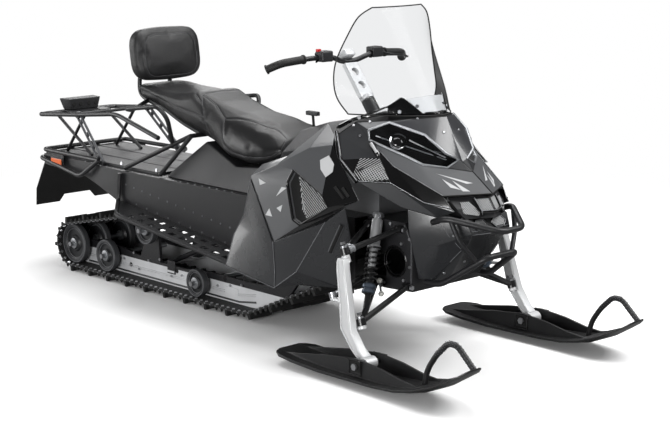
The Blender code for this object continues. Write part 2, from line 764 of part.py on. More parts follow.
def make_belly_pan(name, side):
    names = list(BELLY_SHARES)
    points = [sided(place(BELLY_SHARES[key]), side) for key in names]
    faces = [tuple(names.index(key) for key in face) for face in BELLY_FACES]
    shell(name, points, faces, PANEL_WALL, place(PANEL_INSIDE_SHARES), "dark_plastic")


# Hood: folded shell over the nose with openings for the headlamps
HOOD_SHARES = {
    # row under the windshield
    "a0": (1.018, 0.000, 0.983), "a1": (0.952, 0.110, 0.977), "a2": (0.890, 0.160, 0.969),
    "a3": (0.755, 0.243, 0.958),
    # rim of the lamp opening, from its outer corner round to the nose and back
    "l0": (0.828, 0.245, 0.933), "l1": (0.883, 0.185, 0.963), "l2": (1.017, 0.120, 0.920),
    "l3": (1.090, 0.080, 0.851), "l4": (1.108, 0.024, 0.821), "l5": (1.099, 0.080, 0.794),
    "l6": (1.040, 0.155, 0.808), "l7": (0.976, 0.187, 0.839), "l8": (0.838, 0.252, 0.895),
    # middle ridge and the band that runs from the lamp's corner to the nose
    "c1": (1.095, 0.000, 0.831), "c0": (1.107, 0.000, 0.812), "n0": (1.162, 0.000, 0.777),
    "n1": (1.266, 0.000, 0.703), "n2": (1.166, 0.174, 0.702), "n3": (0.961, 0.240, 0.802),
    # cheek between the band and the strip over the suspension
    "g0": (0.910, 0.267, 0.835), "g1": (0.985, 0.280, 0.743), "g2": (1.105, 0.215, 0.672),
    "g3": (1.200, 0.165, 0.655),
    # edge beside the side panel, and the strip's lower edge
    "s0": (0.714, 0.306, 0.910), "s1": (0.778, 0.348, 0.820), "s2": (0.885, 0.360, 0.748),
    "e1": (1.015, 0.245, 0.646), "e2": (1.135, 0.165, 0.612), "e3": (1.214, 0.160, 0.643),
}
HOOD_FACES = (
    ("a0", "a1", "l2", "l3"), ("a0", "l3", "l4", "c1"), ("a1", "a2", "l1", "l2"),
    ("a2", "a3", "l0", "l1"), ("a3", "s0", "l8", "l0"), ("s0", "s1", "g0", "l8"),
    ("s1", "s2", "g1", "g0"), ("l4", "c0", "c1"), ("l4", "l5", "n0", "c0"),
    ("l8", "n3", "l7"), ("l7", "n3", "n2", "l6"), ("l5", "l6", "n0"), ("l6", "n2", "n1", "n0"),
    ("l8", "g0", "n3"), ("n3", "g0", "g1"), ("n3", "g1", "g2", "n2"), ("n2", "g2", "g3"),
    ("s2", "e1", "g1"), ("g1", "e1", "e2", "g2"), ("g2", "e2", "e3", "g3"),
)
HOOD_INSIDE_SHARES = (0.900, 0.0, 0.700)


def half_and_half(shares, faces):
    """Points and faces of a table of the left half and of its mirror image."""
    names, points = [], []
    for key, (forward, left, up) in shares.items():
        for side in ((1,) if left == 0 else (1, -1)):
            names.append((key, 1 if left == 0 else side))
            points.append(place((forward, left * side, up)))
    both = []
    for side in (1, -1):
        for face in faces:
            both.append(tuple(names.index((key, 1 if shares[key][1] == 0 else side)) for key in face))
    return points, both


def make_hood():
    points, faces = half_and_half(HOOD_SHARES, HOOD_FACES)
    shell("hood", points, faces, PANEL_WALL, place(HOOD_INSIDE_SHARES), "grey_panel")


# Headlamps: lens blocks behind the openings of the hood
LAMP_RIM_NAMES = ("l0", "l1", "l2", "l3", "l4", "l5", "l6", "l7", "l8")
LAMP_FRONT_SHARE = 0.958        # size of the lens against the opening, at its front and back
LAMP_BACK_SHARE = 0.600
LAMP_SINK = 0.004
LAMP_DEPTH = 0.036


def facing(ring):
    """Unit normal of a ring of points."""
    total = Vector()
    for index, point in enumerate(ring):
        total += ring[index - 1].cross(point)
    return total.normalized()


def make_headlamp(name, side):
    rim = [sided(place(HOOD_SHARES[key]), side) for key in LAMP_RIM_NAMES]
    centre = sum(rim, Vector()) / len(rim)
    inward = facing(rim)
    if inward.dot(place(HOOD_INSIDE_SHARES) - centre) < 0:
        inward = -inward
    front = [mid(centre, point, LAMP_FRONT_SHARE) + inward * LAMP_SINK for point in rim]
    back = [mid(centre, point, LAMP_BACK_SHARE) + inward * (LAMP_SINK + LAMP_DEPTH) for point in rim]
    loft(name, [front, back], "lamp")


# Chin fairing under the hood's edge, and the nose grille that stands on it
CHIN_DROP = 0.0004              # from the edge of the hood's strip down to the chin
CHIN_SHARES = (                 # three points of a side, from the bulkhead forwards, level by level
    ((1.0305, 0.234, 0.637), (1.135, 0.163, 0.607), (1.235, 0.122, 0.607)),
    ((1.0305, 0.228, 0.560), (1.150, 0.165, 0.556), (1.262, 0.112, 0.556)),
    ((1.0305, 0.212, 0.500), (1.130, 0.165, 0.500), (1.235, 0.098, 0.515)),
    ((1.0305, 0.170, 0.350), (1.080, 0.150, 0.350), (1.120, 0.090, 0.350)),
)
GRILLE_BACK_SHARE = 1.138
GRILLE_TOP_SHARE = 0.87         # of the way from the chin up to the hood's front corner
GRILLE_SHARES = (               # rise, rear half width, side (forward, left), nose forward
    (0.0, 0.100, 1.230, 0.118, 1.288),
    (0.5, 0.110, 1.204, 0.138, 1.274),
    (1.0, 0.110, 1.160, 0.145, 1.243),
)


def make_nose():
    rings = []
    high, low = place(HOOD_SHARES["e1"]), place(HOOD_SHARES["e2"])
    for level, row in enumerate(CHIN_SHARES):
        left = [place(shares) for shares in row]
        if level == 0:
            share = (left[0].x - high.x) / (low.x - high.x)
            left[0].z = mid(high, low, share).z - CHIN_DROP
            left[1].z = left[2].z = low.z - CHIN_DROP
        rings.append(left + [sided(point, -1) for point in reversed(left)])
    chin = loft("chin_fairing", rings, "dark_plastic")
    split_caps(chin, len(rings[0]))
    foot = rings[0][1].z + GAP
    reach = (place(HOOD_SHARES["n2"]).z - foot) * GRILLE_TOP_SHARE
    rings = []
    for rise, rear_half, side_forward, side_left, nose in GRILLE_SHARES:
        up = foot + rise * reach
        half = [place((GRILLE_BACK_SHARE, rear_half, 0.0)), place((side_forward, side_left, 0.0))]
        ring = half + [place((nose, 0.0, 0.0))] + [sided(point, -1) for point in reversed(half)]
        rings.append([Vector((point.x, point.y, up)) for point in ring])
    loft("nose_grille", rings, "dark_plastic")


def split_caps(thing, count):
    """Part the end faces of a loft of rings of six points between their second and fifth points."""
    shape = bmesh.new()
    shape.from_mesh(thing.data)
    shape.verts.ensure_lookup_table()
    last = len(shape.verts) - count
    for start in (0, last):
        pair = [shape.verts[start + 1], shape.verts[start + count - 2]]
        bmesh.ops.connect_verts(shape, verts=pair)
    shape.to_mesh(thing.data)
    shape.free()


# Front bumper: an upper and a lower hoop joined by two bent posts
BUMPER_UPPER_SHARES = ((1.125, 0.188, 0.596), (1.196, 0.196, 0.622), (1.370, 0.062, 0.575))
BUMPER_LOWER_SHARES = ((1.050, 0.150, 0.3378), (1.125, 0.142, 0.3378), (1.318, 0.088, 0.469))
BUMPER_POST_SHARES = (1.243, 0.163, 0.531)
POST_TOP_SHARE = 0.10
POST_FOOT_SHARE = 0.80
POST_TUBE = 0.010


def make_front_bumper():
    pieces = []
    for row in (BUMPER_UPPER_SHARES, BUMPER_LOWER_SHARES):
        left = [place(point) for point in row]
        right = [sided(point, -1) for point in reversed(left)]
        pieces.append(tube("hoop", left + right, BUMPER_TUBE, "black_steel"))
    for side in (1, -1):
        upper = [place(point) for point in BUMPER_UPPER_SHARES]
        lower = [place(point) for point in BUMPER_LOWER_SHARES]
        post = [mid(upper[1], upper[2], POST_TOP_SHARE), place(BUMPER_POST_SHARES),
                mid(lower[1], lower[2], POST_FOOT_SHARE)]
        post = [sided(point, side) for point in post]
        pieces.append(tube("post", post, POST_TUBE, "black_steel"))
    fuse("front_bumper", pieces, "black_steel")


# Windshield and its lower fairing
SCREEN_SHARES = (       # up, forward at the middle, half width, forward at the side
    (0.9858, 0.995, 0.245, 0.710),
    (1.050, 0.950, 0.285, 0.690),
    (1.120, 0.910, 0.290, 0.675),
    (1.200, 0.865, 0.275, 0.675),
    (1.300, 0.810, 0.235, 0.700),
    (1.370, 0.775, 0.195, 0.720),
    (1.405, 0.760, 0.140, 0.740),
)
SCREEN_COLUMNS = 8
SCREEN_INSIDE_SHARES = (0.300, 0.0, 1.100)


def screen_point(row, column):
    """Point of the windshield on a row at a share (-1 to 1) of its half width."""
    up, middle, half, side = row
    return place((middle + (side - middle) * column * column, half * column, up))


def make_windshield():
    points, faces = [], []
    for row in SCREEN_SHARES:
        for step in range(SCREEN_COLUMNS + 1):
            points.append(screen_point(row, 2 * step / SCREEN_COLUMNS - 1))
    width = SCREEN_COLUMNS + 1
    for row in range(len(SCREEN_SHARES) - 1):
        for step in range(SCREEN_COLUMNS):
            start = row * width + step
            faces.append((start, start + 1, start + width + 1, start + width))
    shell("windshield", points, faces, SCREEN_WALL, place(SCREEN_INSIDE_SHARES), "clear")


# Windshield mount: a bar behind the sheet's lower edge that ends in an arm on each side
MOUNT_SHARES = (        # left, lower edge, upper edge
    (0.000, 0.9858, 0.9970),
    (0.070, 0.9858, 0.9990),
    (0.120, 0.9858, 1.0600),
    (0.170, 0.9858, 1.0200),
    (0.215, 0.9680, 0.9840),
)
MOUNT_END_SHARES = (    # forward, left, lower edge, upper edge where the arm runs on past the sheet
    (0.745, 0.250, 0.9600, 0.9720),
    (0.692, 0.285, 0.9240, 0.9380),
)
MOUNT_FOOT = 0.045      # depth at the lower edge and at the upper edge
MOUNT_HEAD = 0.014
MOUNT_STANDOFF = 0.0100


def behind_screen(left, up, depth):
    """Point behind the windshield, square to its plan curve, from a point of it off the middle."""
    rows = SCREEN_SHARES
    index = 0
    while index < len(rows) - 2 and rows[index + 1][0] < up:
        index += 1
    low, high = rows[index], rows[index + 1]
    share = max(0.0, (up - low[0]) / (high[0] - low[0]))
    level = [first + (last - first) * share for first, last in zip(low, high)]
    column = left / level[2]
    slope = 2 * (level[3] - level[1]) * column / level[2]
    spot = screen_point((up, *level[1:]), column)
    return spot + Vector((-1, slope, 0)).normalized() * depth


def make_windshield_fairing():
    half = []
    for left, low, high in MOUNT_SHARES:
        foot = behind_screen(left, low, MOUNT_STANDOFF)
        head = behind_screen(left, high, MOUNT_STANDOFF)
        half.append([foot, head, head - Vector((MOUNT_HEAD, 0, 0)), foot - Vector((MOUNT_FOOT, 0, 0))])
    for forward, left, low, high in MOUNT_END_SHARES:
        rear = forward * BODY_REACH - MOUNT_HEAD
        spots = ((forward * BODY_REACH, low), (forward * BODY_REACH, high), (rear, high), (rear, low))
        half.append([Vector((ahead, left * BODY_WIDTH, up * BODY_HEIGHT)) for ahead, up in spots])
    mirrored = [[sided(point, -1) for point in ring] for ring in reversed(half[1:])]
    loft("windshield_fairing", mirrored + half, "dark_plastic")


# Starter handle and engine
STARTER_SHARES = ((0.3660, -0.120, 0.8870), (0.360, -0.120, 0.945))
STARTER_GRIP = Vector((0.070, 0.022, 0.018))
STARTER_STEM = 0.006
ENGINE_FOOT_SHARES = (0.660, 0.0, TUNNEL_TOP_SHARE)
ENGINE_SIZE = Vector((0.300, 0.340, 0.180))


def make_starter_handle():
    low, high = (place(point) for point in STARTER_SHARES)
    stem = cylinder("stem", low, high, STARTER_STEM, 8, "black_plastic")
    grip = box("grip", high, STARTER_GRIP, "black_plastic")
    fuse("starter_handle", [stem, grip], "black_plastic")


def make_engine():
    centre = place(ENGINE_FOOT_SHARES) + Vector((0, 0, GAP + ENGINE_SIZE.z / 2))
    box("engine_block", centre, ENGINE_SIZE, "silver")


# Front bulkhead: folded box that carries the suspension arms
BULKHEAD_SHARES = (     # forward, up; outline of a side plate
    (0.7724, 0.300), (0.870, 0.292), (1.0300, 0.300), (1.0300, 0.500), (0.985, 0.5745), (0.7724, 0.5745),
)
BULKHEAD_HALF_SHARE = 0.200
PORT_SHARES = (0.930, 0.0, 0.410)
PORT_RADIUS = 0.066
SLOT_SHARES = (0.850, 0.0, 0.385)
SLOT_SIZE = Vector((0.062, 0.0, 0.085))
OVERRUN = 0.02


def make_bulkhead():
    half = BULKHEAD_HALF_SHARE * BODY_WIDTH
    outline = [place((forward, BULKHEAD_HALF_SHARE, up)) for forward, up in BULKHEAD_SHARES]
    outer = prism("outer", outline, Vector((0, -2 * half, 0)), "black_steel")
    centre = sum(outline, Vector()) / len(outline)
    inner = []
    for point in outline:
        toward = Vector((centre.x - point.x, 0, centre.z - point.z))
        inner.append(Vector((point.x + math.copysign(PLATE_WALL, toward.x), half - PLATE_WALL,
                             point.z + math.copysign(PLATE_WALL, toward.z))))
    hollow = prism("hollow", inner, Vector((0, -2 * (half - PLATE_WALL), 0)), "black_steel")
    reach = Vector((0, half + OVERRUN, 0))
    port_centre = place(PORT_SHARES)
    port = cylinder("port", port_centre - reach, port_centre + reach, PORT_RADIUS, 20, "black_steel")
    slot = box("slot", place(SLOT_SHARES), SLOT_SIZE + 2 * reach, "black_steel")
    cut("front_bulkhead", [outer, hollow, port, slot], "black_steel")


# Suspension arms, shocks, spindles, tie rods, skis and runners
def kingpin():
    """Unit vector up the steering axis of the left ski leg."""
    return (place(UPPER_BALL_SHARES) - place(LOWER_BALL_SHARES)).normalized()


UPPER_ARM_SHARES = ((0.965, 0.0, 0.548), (0.795, 0.0, 0.548))     # inner ends: front, rear
LOWER_ARM_SHARES = ((1.010, 0.0, 0.322), (0.840, 0.0, 0.322))
SLEEVE_RADIUS = 0.014
SLEEVE_LENGTH = 0.036
SHOCK_SEAT_SHARE = 0.30         # of the way from the ball joint to the rear root
SHOCK_TOP_SHARES = (0.850, 0.2150, 0.590)
SHOCK_LIFT = 0.0309
SHOCK_PAD_RADIUS = 0.013


def shock_ends(side):
    """Foot on the lower arm's rear leg, top eye, and the point of the leg under the foot."""
    ball = place(LOWER_BALL_SHARES)
    root = place(LOWER_ARM_SHARES[1])
    root.y = BULKHEAD_HALF_SHARE * BODY_WIDTH + GAP + SLEEVE_RADIUS * math.cos(math.pi / 8)
    seat = mid(ball, root, SHOCK_SEAT_SHARE)
    top = place(SHOCK_TOP_SHARES)
    foot = seat + (top - seat).normalized() * SHOCK_LIFT
    return sided(foot, side), sided(top, side), sided(seat, side)


def make_arm(name, side, ball_shares, inner_shares, carries_shock):
    ball = sided(place(ball_shares), side)
    axis = kingpin()
    out = axis * BOSS_HALF
    pieces = [cylinder("boss", ball - out, ball + out, BOSS_RADIUS, 10, "black_steel")]
    for shares in inner_shares:
        root = place(shares)
        root.y = side * (BULKHEAD_HALF_SHARE * BODY_WIDTH + GAP + SLEEVE_RADIUS * math.cos(math.pi / 8))
        pieces.append(cylinder("leg", ball, root, ARM_TUBE, 8, "black_steel"))
        reach = Vector((SLEEVE_LENGTH / 2, 0, 0))
        pieces.append(cylinder("sleeve", root - reach, root + reach, SLEEVE_RADIUS, 8, "black_steel"))
    if carries_shock:
        foot, top, seat = shock_ends(side)
        pad_end = foot - (top - seat).normalized() * GAP
        pieces.append(cylinder("pad", seat, pad_end, SHOCK_PAD_RADIUS, 8, "black_steel"))
    fuse(name, pieces, "black_steel")


SHOCK_PROFILE = (       # share of the length from the lower eye, radius
    (0.000, 0.012), (0.060, 0.012), (0.062, 0.026), (0.080, 0.026), (0.082, 0.0085),
    (0.620, 0.0085), (0.622, 0.026), (0.640, 0.026), (0.642, 0.017), (0.930, 0.017), (0.932, 0.012),
    (1.000, 0.012),
)
SPRING_SHARES = (0.070, 0.632)


def make_shock(name, side):
    low, high, _ = shock_ends(side)
    axis = high - low
    profile = [(share * axis.length, radius) for share, radius in SHOCK_PROFILE]
    body = lathe("body", low, axis, profile, 9, "silver")
    across_axis, rise = across(axis)
    path = []
    steps = SPRING_TURNS * SPRING_STEPS
    first, last = SPRING_SHARES
    for step in range(steps + 1):
        angle = math.tau * step / SPRING_STEPS
        along = first + (last - first) * step / steps
        path.append(low + axis * along + across_axis * (SPRING_RADIUS * math.cos(angle))
                    + rise * (SPRING_RADIUS * math.sin(angle)))
    spring = sweep("spring", path, round_section(SPRING_WIRE, 4), "black_steel")
    fuse(name, [body, spring], "black_steel")


LEG_SHARES = (          # forward, left, up, depth, thickness
    (0.9020, 0.4560, 0.4600, 0.034, 0.034),
    (0.9120, 0.4660, 0.4200, 0.046, 0.030),
    (0.9450, 0.4800, 0.2900, 0.056, 0.030),
    (0.9660, 0.4900, 0.1950, 0.062, 0.034),
    (1.0200, 0.4900, 0.1250, 0.050, 0.036),
    (1.0660, 0.4850, 0.0820, 0.050, 0.040),
)
FOOT_RADIUS = 0.026
FOOT_HALF = 0.030
UPPER_BOSS_LENGTH = 0.030
LOWER_BOSS_LENGTH = 0.016
EYE_RADIUS = 0.014
WEB_RADIUS = 0.0075             # of the lug and of the steering arm at their thin ends
WEB_ROOT_RADIUS = 0.011
LUG_SHARES = (0.975, 0.488, 0.188)
STEERING_ARM_SHARES = (0.940, 0.478, 0.290)
BORE_OVERRUN = 1.5


def make_spindle(name, side):
    axis = kingpin()
    rings = []
    for forward, left, up, depth, thick in LEG_SHARES:
        centre = sided(place((forward, left, up)), side)
        corners = ((-depth, -thick), (depth, -thick), (depth, thick), (-depth, thick))
        rings.append([centre + Vector((ahead, out, 0)) / 2 for ahead, out in corners])
    pieces = [loft("leg", rings, "silver")]
    upper = sided(place(UPPER_BALL_SHARES), side) - axis * (BOSS_HALF + GAP)
    pieces.append(cylinder("upper", upper - axis * UPPER_BOSS_LENGTH, upper, BOSS_RADIUS, 10, "silver"))
    lower = sided(place(LOWER_BALL_SHARES), side) - axis * (BOSS_HALF + GAP)
    pieces.append(cylinder("lower", lower - axis * LOWER_BOSS_LENGTH, lower, BOSS_RADIUS, 10, "silver"))
    lug = sided(place(LUG_SHARES), side)
    pieces.append(cylinder("lug", lower - axis * LOWER_BOSS_LENGTH / 2, lug, WEB_RADIUS, 6, "silver"))
    end = sided(place(TIE_END_SHARES), side)
    low_end = end - axis * (TIE_HALF + GAP)
    pieces.append(cylinder("arm_eye", low_end - axis * LOWER_BOSS_LENGTH, low_end, EYE_RADIUS, 8, "silver"))
    root = sided(place(STEERING_ARM_SHARES), side)
    start = low_end - axis * LOWER_BOSS_LENGTH / 2
    pieces.append(cylinder("arm", start, root, WEB_RADIUS, 6, "silver", WEB_ROOT_RADIUS))
    pin = sided(place(SKI_PIN_SHARES), side)
    reach = Vector((0, FOOT_HALF, 0))
    pieces.append(cylinder("foot", pin - reach, pin + reach, FOOT_RADIUS, 14, "silver"))
    leg = fuse("whole", pieces, "silver")
    reach *= BORE_OVERRUN
    radius = SKI_PIN_RADIUS / math.cos(math.pi / 12) + 2 * GAP
    bore = cylinder("bore", pin - reach, pin + reach, radius, 12, "silver")
    cut(name, [leg, bore], "silver")


def make_tie_rod(name, side):
    axis = kingpin()
    end = sided(place(TIE_END_SHARES), side)
    inner = sided(place(TIE_INNER_SHARES), side)
    eye = cylinder("eye", end - axis * TIE_HALF, end + axis * TIE_HALF, TIE_EYE_RADIUS, 8, "silver")
    rod = cylinder("rod", end, inner, TIE_ROD_RADIUS, 8, "silver")
    fuse(name, [eye, rod], "silver")


SKI_SHARES = (          # forward, sole, edge rise, deck, half width, wall top
    (0.607, 0.046, 0.002, 0.054, 0.050, 0.0545),
    (0.622, 0.040, 0.004, 0.052, 0.082, 0.0525),
    (0.660, 0.033, 0.006, 0.050, 0.103, 0.0510),
    (0.750, 0.024, 0.009, 0.044, 0.110, 0.0640),
    (0.900, 0.0126, 0.014, 0.038, 0.110, 0.0900),
    (1.071, 0.0126, 0.016, 0.038, 0.110, 0.1080),
    (1.200, 0.0126, 0.018, 0.040, 0.110, 0.0960),
    (1.310, 0.020, 0.018, 0.048, 0.110, 0.0760),
    (1.400, 0.040, 0.016, 0.066, 0.108, 0.0700),
    (1.500, 0.082, 0.012, 0.102, 0.098, 0.1030),
    (1.580, 0.130, 0.008, 0.144, 0.070, 0.1450),
    (1.617, 0.158, 0.004, 0.170, 0.038, 0.1705),
    (1.630, 0.170, 0.002, 0.178, 0.016, 0.1785),
)
SKI_WALL_SHARE = 0.58
SKI_WALL = 0.010
SKI_KEEL_SHARE = 0.20
LOOP_SHARES = ((1.370, 0.0, 0.052), (1.385, 0.0, 0.120), (1.430, 0.0, 0.185), (1.490, 0.0, 0.242),
               (1.535, 0.0, 0.242), (1.617, 0.0, 0.168))
LOOP_TUBE = 0.011
LOOP_BEND = 0.03
SKI_FULL_SHARE = 0.110          # half width of a ski where it is at its widest
SKI_CHAMFER_SHARE = 0.98
SKI_FILLET = (0.002, 0.004)     # spread of the saddle wall's foot on its inner and outer side
BOLT_SHARE = 1.12               # half length of the pin against the saddle wall's outer face


def make_ski(name, side):
    middle = SKI_PIN_SHARES[1]
    rings = []
    for forward, sole, rise, deck, half, wall in SKI_SHARES:
        outer = half * SKI_WALL_SHARE
        inner = outer - SKI_WALL * half / SKI_FULL_SHARE
        near, far = SKI_FILLET
        foot = outer + far * half / SKI_FULL_SHARE
        section = ((half, sole + rise), (half * SKI_CHAMFER_SHARE, deck), (foot, deck),
                   (outer, wall), (inner, wall), (inner - near, deck))
        right = [(-left, up) for left, up in reversed(section)]
        keel = [(-half * SKI_KEEL_SHARE, sole), (half * SKI_KEEL_SHARE, sole)]
        loop = [*section, *right, *keel]
        rings.append([place((forward, side * middle + left, up)) for left, up in loop])
    body = loft("body", rings, "black_plastic")
    pin = sided(place(SKI_PIN_SHARES), side)
    reach = Vector((0, SKI_FULL_SHARE * SKI_WALL_SHARE * BOLT_SHARE * BODY_WIDTH, 0))
    bolt = cylinder("bolt", pin - reach, pin + reach, SKI_PIN_RADIUS, 12, "black_plastic")
    whole = fuse("whole", [body, bolt], "black_plastic")
    path = loop_path(side)
    path[0] += (path[0] - path[1]).normalized() * GAP
    path[-1] += (path[-1] - path[-2]).normalized() * GAP
    sockets = tube("sockets", path, LOOP_TUBE + GAP / math.cos(math.pi / 8), "black_plastic", LOOP_BEND)
    cut(name, [whole, sockets], "black_plastic")


def loop_path(side):
    """Corners of the loop of a ski, from its rear foot to its front foot."""
    middle = side * SKI_PIN_SHARES[1]
    return [place((forward, middle, up)) for forward, _, up in LOOP_SHARES]


def make_ski_loop(name, side):
    """The loop to pull the ski by, which stands in two sockets of the ski."""
    tube(name, loop_path(side), LOOP_TUBE, "black_plastic", LOOP_BEND)


RUNNER_SHARES = (0.900, 1.200)


def make_runner(name, side):
    middle = side * SKI_PIN_SHARES[1] * BODY_WIDTH
    start, end = (forward * BODY_REACH for forward in RUNNER_SHARES)
    up = RUNNER_RADIUS * math.cos(math.pi / 8)
    path = [Vector((start, middle, up)), Vector((end, middle, up))]
    cylinder(name, path[0], path[1], RUNNER_RADIUS, 8, "silver")


# Steering: riser plate, handlebar and what it carries
RISER_WIDTH = 0.073
RISER_THICKNESS = 0.022
RISER_TOP = 0.018
BAR_SHARES = ((0.474, 0.110, 1.190), (0.432, 0.200, 1.186), (0.425, 0.350, 1.176), (0.385, 0.385, 1.155))
BAR_PAD_SIZE = Vector((0.066, 0.056, 0.034))
BLOCK_SHARES = (0.462, 0.145, 1.194)
BLOCK_SIZE = Vector((0.050, 0.060, 0.045))
RISER_BASE = 0.020              # height of the round base
RISER_START = 0.012             # where the plate begins inside it
RISER_HOLE_SHARES = (0.35, 0.68)
RISER_HOLE_RADIUS = 0.018
BAR_BEND = 0.04
GRIP_SHARES = (0.15, 0.85)


def make_steering():
    foot = place(STEERING_FOOT_SHARES)
    top = place(STEERING_TOP_SHARES)
    axis = (top - foot).normalized()
    base = cylinder("base", foot + axis * GAP, foot + axis * RISER_BASE, COLLAR_RADIUS, 12, "silver")
    wide, thick = RISER_WIDTH / 2, RISER_THICKNESS / 2
    forward = Vector((axis.z, 0, -axis.x))
    outline = [(-wide, -thick), (wide, -thick), (wide, thick), (-wide, thick)]
    rings = []
    for along in (RISER_START, (top - foot).length - RISER_TOP):
        centre = foot + axis * along
        rings.append([centre + Vector((0, left, 0)) + forward * ahead for left, ahead in outline])
    plate = loft("plate", rings, "silver")
    riser = fuse("whole", [base, plate], "silver")
    holes = []
    through = forward * RISER_WIDTH
    for share in RISER_HOLE_SHARES:
        centre = mid(foot, top, share)
        holes.append(cylinder("hole", centre - through, centre + through, RISER_HOLE_RADIUS, 12, "silver"))
    cut("steering_riser", [riser, *holes], "silver")
    seat = foot + axis * ((top - foot).length - RISER_TOP + GAP + BAR_TUBE)
    left = [seat + Vector((0, RISER_WIDTH / 2, 0))] + [place(point) for point in BAR_SHARES]
    path = [sided(point, -1) for point in reversed(left)] + left
    bar = tube("bar", path, BAR_TUBE, "black_steel", BAR_BEND)
    grips = []
    for side in (1, -1):
        start, end = (sided(mid(left[2], left[3], share), side) for share in GRIP_SHARES)
        grips.append(cylinder("grip", start, end, GRIP_RADIUS, 10, "black_steel"))
    fuse("handlebar", [bar, *grips], "black_steel")
    pad = BAR_PAD_SIZE / 2
    rings = []
    for along in (BAR_TUBE + 2 * GAP, BAR_TUBE + 2 * GAP + BAR_PAD_SIZE.z):
        centre = seat + axis * along
        rings.append([centre + Vector((0, a * pad.y, 0)) + forward * (b * pad.x)
                      for a, b in ((-1, -1), (1, -1), (1, 1), (-1, 1))])
    loft("bar_pad", rings, "black_plastic")
    for name, side in (("throttle_block", -1), ("brake_block", 1)):
        block = box("block", sided(place(BLOCK_SHARES), side), BLOCK_SIZE, "black_plastic")
        bore = tube("bore", path, BAR_TUBE + GAP / math.cos(math.pi / 8), "black_plastic", BAR_BEND)
        cut(name, [block, bore], "black_plastic")


# Wheels of the track, each row one turned solid with its axle
WHEEL_FACE_SHARES = ((1.0, 0.0), (1.0, 0.30), (0.5, 0.84), (0.9, 1.0))     # of the half width, of the radius
WHEEL_SIDES = 16
AXLE_HALF = 0.235
CARRIER_AXLE_HALF = 0.245
WHEEL_ROWS = (          # node, axle's place forward, radius, wheels' places across
    ("rear_idler_wheels", REAR_AXLE_SHARE, REAR_WHEEL_RADIUS, (INNER_WHEEL_SPREAD, OUTER_WHEEL_SPREAD)),
    ("second_wheels", SECOND_AXLE_SHARE, SECOND_WHEEL_RADIUS, (OUTER_WHEEL_SPREAD,)),
    ("bogie_wheels", BOGIE_AXLE_SHARE, BOGIE_WHEEL_RADIUS, (OUTER_WHEEL_SPREAD,)),
)


def make_track_wheels(name, forward, up, radius, spreads, half_length):
    """Axle with its wheels as one turned solid."""
    profile = [(-half_length, AXLE_RADIUS)]
    places_across = sorted([-spread for spread in spreads] + list(spreads))
    for centre in places_across:
        half = WHEEL_WIDTH / 2
        for turn in (-1, 1):
            row = [(centre + turn * half * out, max(AXLE_RADIUS, radius * share))
                   for out, share in WHEEL_FACE_SHARES]
            profile += row if turn < 0 else reversed(row)
    profile.append((half_length, AXLE_RADIUS))
    lathe(name, Vector((forward, 0, up)), Vector((0, 1, 0)), profile, WHEEL_SIDES, "rubber")


def wheel_height(radius):
    """Axle height of a wheel that rolls on the lower run."""
    return LUG_HEIGHT + BELT_THICKNESS + GAP + radius


# Track: path round the wheels, belt, outer lugs and inner guides
BELT_CHORD = math.radians(6)    # half the turn between two points of the belt on a wheel
FINE_STEPS = 400


def track_circles():
    """Circles that the belt runs round: centre (forward, up) and radius, in order."""
    flat = 1.0 / math.cos(BELT_CHORD)
    drive = place(DRIVE_AXLE_SHARES)
    carrier = place(CARRIER_AXLE_SHARES)
    ground = LUG_HEIGHT + BELT_THICKNESS
    rear = Vector((REAR_AXLE_SHARE * BODY_REACH, ground + REAR_WHEEL_RADIUS + GAP))
    nose = Vector((RAIL_NOSE_SHARE * BODY_REACH, ground + RAIL_NOSE_RADIUS))
    return (
        (rear, (REAR_WHEEL_RADIUS + GAP) * flat),
        (nose, RAIL_NOSE_RADIUS),
        (Vector((drive.x, drive.z)), (DRIVE_RADIUS + GAP) * flat),
        (Vector((carrier.x, carrier.z)), (CARRIER_WHEEL_RADIUS + GAP) * flat),
    )


def belt_tangents():
    """Straight stretches between the circles: start, end and the angle of the touching radius."""
    circles = track_circles()
    count = len(circles)
    tangents = []
    for index in range(count):
        centre, radius = circles[index]
        after, after_radius = circles[(index + 1) % count]
        step = after - centre
        turn = math.asin((radius - after_radius) / step.length)
        base = math.atan2(step.y, step.x) - math.pi / 2
        angle = base + turn
        direction = Vector((math.cos(angle), math.sin(angle)))
        tangents.append((centre + direction * radius, after + direction * after_radius, angle))
    return tangents


def track_path():
    """Points of the belt's inner face, evenly spaced, going forward along the ground."""
    circles = track_circles()
    count = len(circles)
    tangents = belt_tangents()
    fine = []
    for index in range(count):
        start, end, angle = tangents[index]
        fine += [start.lerp(end, step / FINE_STEPS) for step in range(FINE_STEPS)]
        centre, radius = circles[(index + 1) % count]
        after_angle = tangents[(index + 1) % count][2]
        sweep_angle = (after_angle - angle) % math.tau
        for step in range(FINE_STEPS):
            turn = angle + sweep_angle * step / FINE_STEPS
            fine.append(centre + Vector((math.cos(turn), math.sin(turn))) * radius)
    lengths = [0.0]
    for index in range(len(fine)):
        lengths.append(lengths[-1] + (fine[(index + 1) % len(fine)] - fine[index]).length)
    total = lengths[-1]
    stations = []
    cursor = 0
    wanted = TRACK_PITCHES * PITCH_STEPS
    for step in range(wanted):
        goal = total * step / wanted
        while lengths[cursor + 1] < goal:
            cursor += 1
        share = (goal - lengths[cursor]) / (lengths[cursor + 1] - lengths[cursor])
        stations.append(fine[cursor].lerp(fine[(cursor + 1) % len(fine)], share))
    return stations


LUG_COLUMNS_SHARE = 0.24        # inner edge of the side lugs, as a share of the track's width
LUG_TAPER = 0.25
LUG_SIDE_TAPER = 0.05


